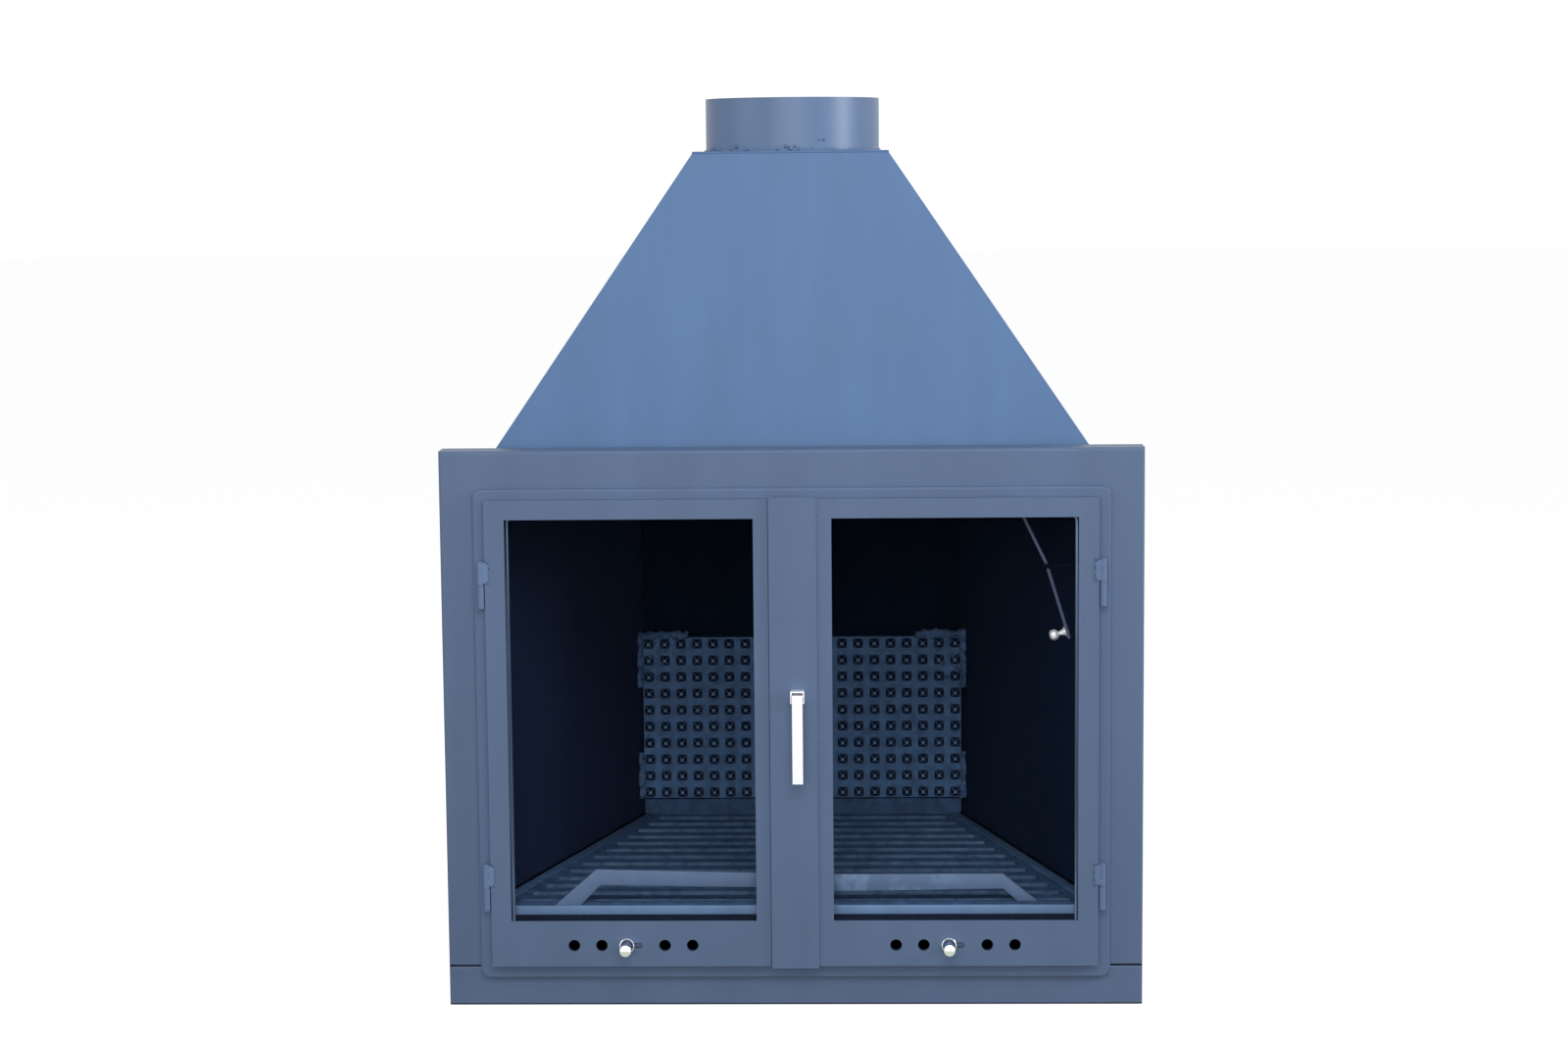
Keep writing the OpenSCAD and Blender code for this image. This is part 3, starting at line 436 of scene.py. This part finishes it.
# The lift-off hinges are turned barrels on steel pins. The upper halves carry a flag that is welded on the
# door's face, and the lower ones stand on the rim. Their paint is made a little lighter than the doors', the
# left ones most, as painted light for the light that their rounded faces catch.
for side, code in (("left", "#667DA1"), ("right", "#607598")):
    hinge_paint_with_painted_light = satin_paint("satin stove paint, hinge flags, " + side, code)
    softened(side + "_hinge_flags", side + "_hinge_halves", side + "_door", hinge_paint_with_painted_light,
             0.0006)
softened("hinge_barrels", "rim_hinge_halves", "firebox", hinge_paint_with_painted_light, 0.0006)
finish(cad["hinge_pins"], plain_steel)


# The flags, the lower barrels and the strip are held by short hand-laid beads, which were left as they
# fell and painted over. The rim is tacked to the trim along its lower edge.
def weld_run(start, end, radius, seed):
    """a bead from one point to another, lumpy along its length"""
    start, end = Vector(start), Vector(end)
    count = max(4, round((end - start).length / 0.0012))
    bead = swept("bead", [start.lerp(end, i / count) for i in range(count + 1)], radius, 12)
    lumpy(bead, radius * 0.9, radius * 2.2, seed)
    return bead


def weld_group(name, body, runs):
    """beads joined to one piece under the front's paint"""
    made = [weld_run(start, end, radius, n + 3) for n, (start, end, radius) in enumerate(runs)]
    fit(joined(name, made), front_paint, body)


upper_low, upper_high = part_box("right_hinge_halves")
lower_low, lower_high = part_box("rim_hinge_halves")
barrel_l = 0.0325
door_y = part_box("right_door_frame")[0].y
proud_y = door_y - 0.0003
strip_low, strip_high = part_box("cover_strip")
for side, sign in (("left", -1), ("right", 1)):
    edge, corner, tip = [sign * (upper_low.x + off) for off in (-0.0004, -0.001, 0.0045)]
    runs = []
    for z in (upper_low.z, upper_high.z - barrel_l):
        # up the flag's inner edge, and over its upper corner
        runs.append(((edge, door_y + 0.0004, z + 0.001), (edge, door_y + 0.0004, z + 0.031), 0.0015))
        runs.append(((corner, proud_y, z + 0.0315), (tip, proud_y, z + 0.034), 0.0014))
    if side == "right":
        # beside the strip's right edge, and a thin line behind its top
        strip_x, seam_y, seam_z = strip_high.x + 0.0002, strip_high.y + 0.0002, strip_high.z + 0.0002
        for start, end in ((0.692, 0.7125), (0.061, 0.068), (0.38, 0.388)):
            runs.append(((strip_x, proud_y, start), (strip_x, proud_y, end), 0.0016))
        runs.append(((strip_low.x + 0.004, seam_y, seam_z), (strip_high.x - 0.004, seam_y, seam_z), 0.0004))
    weld_group(side + "_door_welds", side + "_door", runs)
# up the outer side of the lower barrels, and tacks under the rim
barrel_x, barrel_y = lower_high.x - 0.001, rim_front - 0.0006
runs = []
for sign in (-1, 1):
    for z in (lower_low.z, lower_high.z - barrel_l):
        runs.append(((sign * barrel_x, barrel_y, z + 0.001), (sign * barrel_x, barrel_y, z + 0.0315), 0.0017))
rim_low, rim_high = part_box("door_rim")
tack_y, tack_z = rim_high.y - 0.0004, rim_low.z + 0.0002
for x, length in ((-0.212, 0.02), (-0.158, 0.006), (-0.086, 0.022), (-0.03, 0.008), (0.12, 0.016),
                  (0.31, 0.01)):
    runs.append(((x, tack_y, tack_z), (x + length, tack_y, tack_z), 0.0014))
weld_group("rim_welds", "firebox", runs)


# Behind the lower rails the air slides run in bent guides, in the dark paint of the inside. Their knobs
# are turned brass under bright chrome, screwed through a short slot in the rail.
def plated(name, code, reflection_code, low, high, rough, metal=1.0):
    """chrome on turned brass: bright, and tinted below a wavy line between two heights (m) as a painted
    reflection
    """
    made, tree = new_material(name)
    place = add_node(tree, "ShaderNodeTexCoord").outputs["Object"]
    haze = add_node(tree, "ShaderNodeTexNoise", {"Scale": 1 / 0.006, "Detail": 3}, {"Vector": place})
    up = add_node(tree, "ShaderNodeSeparateXYZ", (), {0: place}).outputs[2]
    wavy = add_node(tree, "ShaderNodeMath", {"operation": "MULTIPLY_ADD", 1: 0.004}, {0: haze, 2: up})
    above_reflection = add_node(tree, "ShaderNodeMapRange", {"From Min": low + 0.002, "From Max": high + 0.002},
                     {"Value": wavy})
    colour = add_node(tree, "ShaderNodeMix", {"data_type": "RGBA", 6: linear(reflection_code), 7: linear(code)},
                      {0: above_reflection})
    shine = add_node(tree, "ShaderNodeMapRange", {"To Min": rough, "To Max": rough + 0.1}, {"Value": haze})
    skin = add_node(tree, "ShaderNodeBsdfPrincipled", {"Metallic": metal},
                    {"Base Color": colour.outputs[2], "Roughness": shine})
    add_node(tree, "ShaderNodeOutputMaterial", (), {0: skin})
    return made


def turned(name, foot, axis, profile):
    """a part from the lathe: a disc pushed out along its axis and resized at each step of a profile (mm)"""
    bpy.ops.object.select_all(action="DESELECT")
    bpy.ops.mesh.primitive_circle_add(vertices=64, radius=profile[0][1] / 1000, fill_type="NGON")
    piece = bpy.context.object
    piece.name = name
    bpy.ops.object.mode_set(mode="EDIT")
    bpy.ops.mesh.select_all(action="SELECT")
    for (a, r), (b, s) in zip(profile, profile[1:]):
        bpy.ops.mesh.extrude_region_move(TRANSFORM_OT_translate={"value": (0, 0, (b - a) / 1000)})
        bpy.ops.transform.resize(value=(s / r, s / r, 1), center_override=(0, 0, (b - profile[0][0]) / 1000))
    bpy.ops.mesh.select_all(action="SELECT")
    bpy.ops.mesh.normals_make_consistent(inside=False)
    bpy.ops.object.mode_set(mode="OBJECT")
    bpy.ops.object.shade_smooth_by_angle(angle=math.radians(28))
    turn = Vector(axis).to_track_quat("Z", "Y").to_matrix().to_4x4()
    piece.data.transform(Matrix.Translation(foot) @ turn @ Matrix.Translation((0, 0, profile[0][0] / 1000)))
    return piece


dark_paint = satin_paint("matt stove paint, inside", "#0A1526", tone=0.15, peel=0.8, rough=0.8, sheen=0.0)
knob_low, knob_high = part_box("left_air_knob")
knob_z = (knob_low.z + knob_high.z) / 2
foot_y = knob_high.y - 0.0057
# the rosette's dished hollow is painted dark slate: painted shade
dish_shade_paint = satin_paint("painted shade in the knob's dish", "#35456A", tone=0.2, rough=0.35)
# distance out from the rail and radius: a screw, a dished rosette, a thin neck and a round head
profile = ((-5.7, 2.0), (0, 2.0), (0, 10.2), (0.3, 10.5), (2.5, 10.5), (3.2, 10.2), (3.6, 9.7), (3.6, 9.1),
           (3.0, 8.5), (2.2, 7.6), (1.8, 6.2), (1.9, 4.9), (3, 4.1), (9, 3.6), (16, 3.5), (17.6, 4.2),
           (18.6, 6.1), (19.4, 7.4), (20.6, 8.15), (30.2, 8.15), (31.4, 7.9), (32.1, 7.3), (32.4, 6.4),
           (32.6, 3.5), (32.6, 0.1))
for side in ("left", "right"):
    low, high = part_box(side + "_air_knob")
    knob_x = (low.x + high.x) / 2
    knob = turned(side + "_turned_knob", (knob_x, foot_y, knob_z), (0, -1, 0), profile)
    # below a wavy line near its middle the knob is tinted grey-green: painted reflection
    plate = plated("bright chrome on brass, " + side, "#F6F7FA", "#BCC6B4", knob_z - 0.001,
                   knob_z + 0.0008, 0.1)
    fit(knob, plate, side + "_air_slide", side + "_air_knob")
    knob.data.materials.append(dish_shade_paint)
    for face in knob.data.polygons:
        out = math.hypot(face.center.x - knob_x, face.center.z - knob_z)
        # the rosette's dish, in painted shade
        if 0.0045 < out < 0.0088 and face.center.y > foot_y - 0.0034:
            face.material_index = 1
    finish(cad[side + "_slide_guides"], dark_paint)
    finish(cad[side + "_air_plate"], front_paint)


# The handle is a short square tube with a flat bar bent down out of it, both chromed. Its spindle goes
# through the strip to a plain steel tongue behind the keeper.
def block(name, low, high):
    """a cube resized to reach from one corner to the other"""
    bpy.ops.object.select_all(action="DESELECT")
    bpy.ops.mesh.primitive_cube_add(size=1)
    piece = bpy.context.object
    piece.name = name
    middle = [(a + b) / 2 for a, b in zip(low, high)]
    size = [b - a for a, b in zip(low, high)]
    piece.data.transform(Matrix.Translation(middle) @ Matrix.Diagonal((*size, 1)))
    return piece


grip_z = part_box("handle_grip_bar")[0].z
head_low, head_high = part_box("handle_tube_head")
# below a wavy line on the bar the chrome is a touch greyer: painted reflection
chrome = plated("bright chrome plate", "#F8F9FC", "#F4F6F8", grip_z + 0.02, grip_z + 0.06, 0.2, 0.5)
inside = drawn_steel("unplated steel inside the tube, darker as painted shade", "#8E8EA4", 0.5)
# the tube's walls are 2 mm thick, and its back 4 mm
head_top, wall, back = head_low.z + 0.0172, 0.002, 0.004
head = block("handle_head", head_low, (head_high.x, head_high.y, head_top))
bpy.ops.object.mode_set(mode="EDIT")
bpy.ops.mesh.select_all(action="DESELECT")
bpy.ops.object.mode_set(mode="OBJECT")
for face in head.data.polygons:
    face.select = face.normal.y < -0.9
bpy.ops.object.mode_set(mode="EDIT")
bpy.ops.mesh.inset(thickness=wall)
bpy.ops.mesh.extrude_region_move(TRANSFORM_OT_translate={"value": (0, head_high.y - head_low.y - back, 0)})
bpy.ops.object.mode_set(mode="OBJECT")
round_edges(head, 0.0009, 3, smooth=40)
fit(head, chrome, "handle", "handle_tube_head")
# the tube's inner faces are unplated steel, made darker and lilac-grey partly as painted shade in the tube
head.data.materials.append(inside)
middle_x, middle_z = (head_low.x + head_high.x) / 2, (head_low.z + head_top) / 2
for face in head.data.polygons:
    off_x, off_z = abs(face.center.x - middle_x), abs(face.center.z - middle_z)
    if off_x < 0.0079 and off_z < 0.0064 and face.center.y < head_high.y - 0.001:
        face.material_index = 1
bar = softened("handle_bar", "handle_grip_bar", "handle", chrome, 0.0012, 3)
# the bar's upper end stops inside the tube
for v in bar.data.vertices:
    if v.co.z > head_low.z:
        v.co.z = min(v.co.z, head_top - 0.0052)
for node in ("latch_spindle", "latch_tongue", "latch_keeper"):
    finish(cad[node], plain_steel)


# The firebox is welded from plate and painted matt inside. The damper's parts and the rails of the
# grate have the same paint, and the lever's sawn edges are a little worn.
# the left wall's inner face is painted lighter than the right's: painted light, as the light falls from the
# right
for side, code in (("left", "#222F4B"), ("right", "#17243C")):
    wall_paint_with_painted_light = satin_paint("matt stove paint, wall, " + side, code, tone=0.08, peel=0.2, rough=0.8,
                             sheen=0.02)
    finish(cad[side + "_wall"], wall_paint_with_painted_light)
for node in ("base_plate", "rear_wall", "top_frame", "smoke_shelf",
             "shaft_bearings", "lever_peg", "grate_rails", "damper_flap"):
    finish(cad[node], dark_paint)
for node, outwards in (("left_wall", (-1, 0, 0)), ("right_wall", (1, 0, 0)), ("rear_wall", (0, 1, 0)),
                       ("base_plate", (0, 0, -1))):
    cad[node].data.materials.append(front_paint)
    for face in cad[node].data.polygons:
        if face.normal.dot(Vector(outwards)) > 0.5:
            face.material_index = 1
lever_paint = satin_paint("worn stove paint, lever", "#45526E", tone=0.2, rough=0.5)
softened("lever", "damper_lever", "damper", lever_paint, 0.0008)
finish(cad["damper_shaft"], plain_steel)
knob_low, knob_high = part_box("damper_knob")
ball_z = knob_low.z + 0.0082
lever_end, along_lever = (0.37927, (knob_low.y + knob_high.y) / 2, 0.52095), (-0.9565, 0, -0.2915)
profile = ((-4.2, 2.0), (0, 2.0), (0, 6.9), (0.5, 7.4), (1.2, 7.4), (1.7, 6.8), (2.2, 5.4), (3.6, 4.5),
           (7, 3.5), (9.6, 2.7), (10.4, 3.0), (11.2, 4.9), (12.6, 6.6), (14.6, 7.6), (16.8, 7.8), (19, 7.6),
           (21, 6.7), (22.3, 5.2), (23, 3.2), (23.3, 1.5), (23.3, 0.1))
knob = turned("damper_ball", lever_end, along_lever, profile)
# the ball is tinted lilac-grey below a line in its lower part: painted reflection
chrome_with_painted_reflection = plated("chrome on the damper's knob with a painted reflection", "#F2F7F8", "#B9B2C8", ball_z - 0.0045,
                     ball_z - 0.003, 0.26, 0.3)
fit(knob, chrome_with_painted_reflection, "damper", "damper_knob")


# The grate, the ledge behind it and the fireback are cast, thinly painted grey-blue. The fireback's studs get
# painted shade on their sides and painted highlights on their ridges and tips.
def cast_paint(name, code, worn):
    """paint on a cast skin: 20 mm mottling, 1.2 mm grain, and worn(tree, place, mottle, colour) over it,
    which lays on any painted highlights and shade
    """
    made, tree = new_material(name)
    place = add_node(tree, "ShaderNodeTexCoord").outputs["Object"]
    mottle = add_node(tree, "ShaderNodeTexNoise", {"Scale": 1 / 0.02, "Detail": 6, "Roughness": 0.6},
                      {"Vector": place})
    even = add_node(tree, "ShaderNodeMapRange", {"From Min": 0.35, "From Max": 0.68}, {"Value": mottle})
    colour = add_node(tree, "ShaderNodeMix", {
        "data_type": "RGBA", 6: shaded(code, 0.75), 7: shaded(code, 1.3)}, {0: even})
    colour = worn(tree, place, mottle, colour.outputs[2])
    grain = add_node(tree, "ShaderNodeTexNoise", {"Scale": 1 / 0.0012, "Detail": 3}, {"Vector": place})
    bump = add_node(tree, "ShaderNodeBump", {"Strength": 0.8, "Distance": 0.00025}, {"Height": grain})
    swell = add_node(tree, "ShaderNodeBump", {"Strength": 0.5, "Distance": 0.001},
                     {"Height": mottle, "Normal": bump})
    skin = add_node(tree, "ShaderNodeBsdfPrincipled", {"Roughness": 0.62, "Specular IOR Level": 0.22},
                    {"Base Color": colour, "Normal": swell})
    add_node(tree, "ShaderNodeOutputMaterial", (), {0: skin})
    return made


def bar_edge_highlights(tree, place, mottle, colour):
    """a painted highlight 1 to 3 mm wide along each bar's front edge, stronger in some patches than in others
    """
    y = add_node(tree, "ShaderNodeSeparateXYZ", (), {0: place}).outputs[1]
    behind = add_node(tree, "ShaderNodeMath", {"operation": "SUBTRACT", 1: bar_front}, {0: y})
    along = add_node(tree, "ShaderNodeMath", {"operation": "FLOORED_MODULO", 1: bar_pitch}, {0: behind})
    line = add_node(tree, "ShaderNodeMapRange", {"From Min": 0.0035, "From Max": 0.0012}, {"Value": along})
    patchy = add_node(tree, "ShaderNodeMapRange", {
        "From Min": 0.35, "From Max": 0.65, "To Min": 0.15, "To Max": 0.7}, {"Value": mottle})
    highlight_mask = add_node(tree, "ShaderNodeMath", {"operation": "MULTIPLY"}, {0: line, 1: patchy})
    # the highlight's colour laid over the paint
    worn = add_node(tree, "ShaderNodeMix", {"data_type": "RGBA", 7: linear("#6785A8")},
                    {0: highlight_mask, 6: colour})
    return worn.outputs[2]


def stud_shade_and_highlights(tree, place, mottle, colour):
    """painted shade on all four sides of every stud, and painted highlights on their ridges and tips"""
    x, depth, z = add_node(tree, "ShaderNodeSeparateXYZ", (), {0: place}).outputs
    half_x, half_z = stud_pitch_x / 2, stud_pitch_z / 2
    # how far sideways and up or down the nearest stud's tip is
    across = add_node(tree, "ShaderNodeMath", {"operation": "ADD", 1: half_x}, {0: x})
    across = add_node(tree, "ShaderNodeMath", {"operation": "PINGPONG", 1: half_x}, {0: across})
    up = add_node(tree, "ShaderNodeMath", {"operation": "SUBTRACT", 1: first_stud_z}, {0: z})
    up = add_node(tree, "ShaderNodeMath", {"operation": "PINGPONG", 1: half_z}, {0: up})
    farther = add_node(tree, "ShaderNodeMath", {"operation": "MAXIMUM"}, {0: across, 1: up})
    side = add_node(tree, "ShaderNodeMapRange", {"From Min": 0.0079, "From Max": 0.0074}, {"Value": farther})
    # the ridges run where both are equal, and the tips stand farthest out
    uneven = add_node(tree, "ShaderNodeMath", {"operation": "MULTIPLY", 1: 0.0016}, {0: mottle})
    apart = add_node(tree, "ShaderNodeMath", {"operation": "SUBTRACT"}, {0: across, 1: up})
    apart = add_node(tree, "ShaderNodeMath", {"operation": "ABSOLUTE"}, {0: apart})
    apart = add_node(tree, "ShaderNodeMath", {"operation": "ADD"}, {0: apart, 1: uneven})
    ridge_highlight = add_node(tree, "ShaderNodeMapRange", {"From Min": 0.0024, "From Max": 0.0014, "To Max": 0.8},
                     {"Value": apart})
    ridge_highlight = add_node(tree, "ShaderNodeMath", {"operation": "MULTIPLY"}, {0: ridge_highlight, 1: side})
    depth = add_node(tree, "ShaderNodeMath", {"operation": "ADD"}, {0: depth, 1: uneven})
    tip = add_node(tree, "ShaderNodeMapRange", {
        "From Min": plate_front - 0.005, "From Max": plate_front - 0.0058}, {"Value": depth})
    # the sides' painted shade first, then the ridges' and tips' painted highlights
    for mask, code in ((side, "#0A1D38"), (ridge_highlight, "#4A6890"), (tip, "#86A0BE")):
        over = add_node(tree, "ShaderNodeMix", {"data_type": "RGBA", 7: linear(code)}, {0: mask, 6: colour})
        colour = over.outputs[2]
    return colour


def no_painted_light(tree, place, mottle, colour):
    """the mottled paint as it is"""
    return colour


plate_low, plate_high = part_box("fireback")
plate_front = plate_low.y + 0.007
stud_pitch_x, stud_pitch_z, first_stud_z = 0.0255, 0.0265, plate_low.z + 0.01
grate_low, grate_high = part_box("grate")
bar_pitch, bar_front = 0.045, grate_low.y + 0.0155
grate_paint = cast_paint("thin paint on cast bars", "#3F5B82", bar_edge_highlights)
softened("grate_casting", "grate", "firebox", grate_paint, 0.0014)
finish(cad["rear_ledge"], cast_paint("thin paint on the ledge", "#385379", no_painted_light))
finish(cad["fireback"], cast_paint("painted studs with painted shade and highlights", "#4F719B", stud_shade_and_highlights))


# A flat bar lies on the grate's border along each wall. A black strip in the joint beside each wall is
# painted shade, the contact shadow between grate and wall, and black fire cement fills the joint under the
# plate.
def extruded(name, outline, push):
    """a flat outline of points, filled and pushed out to a solid"""
    bpy.ops.object.select_all(action="DESELECT")
    bpy.ops.mesh.primitive_circle_add(vertices=len(outline), fill_type="NGON")
    piece = bpy.context.object
    piece.name = name
    for v, point in zip(piece.data.vertices, outline):
        v.co = point
    bpy.ops.object.mode_set(mode="EDIT")
    bpy.ops.mesh.select_all(action="SELECT")
    bpy.ops.mesh.extrude_region_move(TRANSFORM_OT_translate={"value": push})
    bpy.ops.mesh.select_all(action="SELECT")
    bpy.ops.mesh.normals_make_consistent(inside=False)
    bpy.ops.object.mode_set(mode="OBJECT")
    return piece


def flat_bar(name, plan, low, high, material, body="firebox"):
    """a bar of one plan between two heights, its edges rounded"""
    bar = extruded(name, [(x, y, low) for x, y in plan], (0, 0, high - low))
    round_edges(bar, min(0.0008, (high - low) / 3), 2)
    fit(bar, material, body)


def rectangle(left, right, front, back):
    """the four corners of an oblong plan"""
    return ((left, front), (right, front), (right, back), (left, back))


joint_and_shade_black = satin_paint("black joints and painted shade", "#050C18", tone=0.3, peel=1.0, rough=0.9, sheen=0.0)
border_paint = cast_paint("thin paint on the side bars", "#48658A", no_painted_light)
# the wall's line over the grate, as half width and depth at its front and at its back
wall_front, wall_back = (grate_high.x, grate_low.y + 0.002), (plate_high.x + 0.0005, grate_high.y - 0.001)
for side, sign in (("left", -1), ("right", 1)):
    # how far in from that line the bar and the joint begin and end, and their heights
    for name, inner, outer, height, material, slot in (
            ("_border_bar", 0.021, 0.0035, 0.0025, border_paint, "cast"),
            ("_wall_painted_shadow", 0.0036, -0.0016, 0.0032, joint_and_shade_black, "inner_paint")):
        plan = [(sign * (x - off), y) for (x, y), off in (
            (wall_front, inner), (wall_front, outer), (wall_back, outer), (wall_back, inner))]
        flat_bar(side + name, plan, grate_high.z, grate_high.z + height, material)
flat_bar("plate_joint", rectangle(-0.2505, 0.2505, plate_front - 0.0006, plate_front + 0.001),
         plate_low.z - 0.0012, plate_low.z + 0.0008, joint_and_shade_black)


# The plate is tacked into the box with heavy beads at its corners: an angle round each upper corner and
# a short run up each lower one. They are lumpy and painted over.
bead_paint = satin_paint("paint over weld beads", "#4A6890", tone=0.3, peel=1.0, rough=0.5)
step = 0.0015
beads = []
for side in (-1, 1):
    corner, top = side * plate_high.x, plate_high.z
    upright = [(corner + side * 0.0045, plate_front - 0.0035, top + 0.006 - step * i) for i in range(57)]
    across = [(corner + side * (0.006 - step * i), plate_front - 0.0015, top + 0.0045) for i in range(53)]
    low = [(corner + side * 0.0045, plate_front - 0.003, plate_low.z + step * i) for i in range(51)]
    for n, path in enumerate((upright, across, low)):
        bead = swept("fireback_bead", path, 0.0052, 20)
        lumpy(bead, 0.0055, 0.011, 3 * side + n + 5)
        lumpy(bead, 0.002, 0.004, 3 * side + n + 15)
        beads.append(bead)
    # spatter of three sizes, scattered over the corner
    for n in range(14):
        bpy.ops.mesh.primitive_ico_sphere_add(subdivisions=2, radius=0.0022 + 0.0012 * (n % 3))
        drop = bpy.context.object
        drop.data.transform(Matrix.Translation((corner - side * 0.006 * (n % 7), plate_front - 0.0005,
                                                top + 0.002 - 0.011 * ((n * 5) % 7))))
        lumpy(drop, 0.0014, 0.003, n + 40)
        beads.append(drop)
welds = joined("fireback_welds", beads)
# nothing reaches into the walls, whose inner faces close in towards the back, or far behind the plate
wall_x, wall_y, wall_taper = 0.4025, -0.1734, 0.294
for v in welds.data.vertices:
    reach = wall_x - wall_taper * (v.co.y - wall_y)
    v.co.x = max(-reach, min(reach, v.co.x))
    v.co.y = min(v.co.y, plate_high.y + 0.001)
fit(welds, bead_paint, "firebox", "fireback_clips")


# A thin black strip along the foot of the sill is painted shade, the contact shadow where the sill meets the
# hearth, and black fire cement shows in the open ends of the seam between the sill and the trim.
sill_low, sill_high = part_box("sill_strip")
half, out, thick = sill_high.x - 0.0003, sill_low.y - 0.0003, 0.0015
seam_start = 0.4405
flat_bar("sill_foot_painted_shadow", rectangle(-half, half, out, out + thick), 0.0002, 0.0022, joint_and_shade_black)
for side, sign in (("left", -1), ("right", 1)):
    flat_bar(side + "_sill_seam", rectangle(sign * seam_start, sign * half, out, out + thick),
             sill_high.z - 0.0006, sill_high.z + 0.0012, joint_and_shade_black)


# A thin black strip behind the left edge of the right door's cover strip is painted shade, the shadow line in
# the gap between the cover strip and the left door.
back = strip_high.y
flat_bar("strip_painted_shadow", rectangle(strip_low.x - 0.0008, strip_low.x + 0.004, back - 0.0001, back + 0.0003),
         strip_low.z + 0.001, strip_high.z - 0.001, joint_and_shade_black, "right_door")


# The bar across the front of the grate is a flat bar with rounded edges, on a thin angle that stays in its
# shade. The log guard behind it is a flat bar bent down at both ends and set a little askew, thick with
# old paint.
bar_low, bar_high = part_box("front_bar")
bar = block("hearth_bar", (bar_low.x, bar_low.y, bar_high.z - 0.01505),
            (bar_high.x, bar_high.y, bar_high.z - 0.00155))
round_edges(bar, 0.0022, 4)
bar_paint = satin_paint("satin stove paint, front bar", "#7495C0", tone=0.12, rough=0.4)
fit(bar, bar_paint, "firebox", "front_bar")
angle = block("hearth_angle", (bar_low.x, bar_high.y - 0.002, bar_low.z - 0.00725),
              (bar_high.x, bar_high.y, bar_low.z + 0.00525))
shade_paint = satin_paint("stove paint in shade", "#15243C", tone=0.2, rough=0.6, sheen=0.2)
fit(angle, shade_paint, "firebox")
guard_low, guard_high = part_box("log_guard")
guard_paint, tree = new_material("worn stove paint, log guard")
place = add_node(tree, "ShaderNodeTexCoord").outputs["Object"]
blots = add_node(tree, "ShaderNodeTexNoise", {"Scale": 1 / 0.03, "Detail": 7, "Roughness": 0.7},
                 {"Vector": place})
# its paint is rubbed paler in patches between 30 and 240 mm right of the middle
across = add_node(tree, "ShaderNodeSeparateXYZ", (), {0: place}).outputs[0]
into = add_node(tree, "ShaderNodeMapRange", {"From Min": 0.03, "From Max": 0.07}, {"Value": across})
out_of = add_node(tree, "ShaderNodeMapRange", {"From Min": 0.24, "From Max": 0.19}, {"Value": across})
span = add_node(tree, "ShaderNodeMath", {"operation": "MULTIPLY"}, {0: into, 1: out_of})
bare = add_node(tree, "ShaderNodeMapRange", {"From Min": 0.48, "From Max": 0.6}, {"Value": blots})
bare = add_node(tree, "ShaderNodeMath", {"operation": "MULTIPLY"}, {0: bare, 1: span})
base = add_node(tree, "ShaderNodeMix", {"data_type": "RGBA", 6: linear("#587295"), 7: linear("#7088AC")},
                {0: blots})
colour = add_node(tree, "ShaderNodeMix", {"data_type": "RGBA", 7: linear("#7D98C0")},
                  {0: bare, 6: base.outputs[2]})
dent = add_node(tree, "ShaderNodeBump", {"Strength": 0.5, "Distance": 0.0006}, {"Height": blots})
skin = add_node(tree, "ShaderNodeBsdfPrincipled", {"Roughness": 0.5, "Specular IOR Level": 0.3},
                {"Base Color": colour.outputs[2], "Normal": dent})
add_node(tree, "ShaderNodeOutputMaterial", (), {0: skin})
# the guard's outline in mm, seen from the front
outline = ((-345, 131.6), (-277.4, 190.6), (59, 181.5), (291.5, 181.1), (340, 142), (311.7, 142),
           (292.1, 159.7), (123, 157.9), (59, 157.8), (-60, 164), (-271.3, 168.2), (-307.7, 131.3))
askew = 0.015
points = [(x / 1000, guard_low.y + askew * (x + 345) / 1000, z / 1000) for x, z in outline]
guard = extruded("guard", points, (0, guard_high.y - guard_low.y, 0))
round_edges(guard, 0.0009, 2, smooth=35)
fit(guard, guard_paint, "firebox", "log_guard")
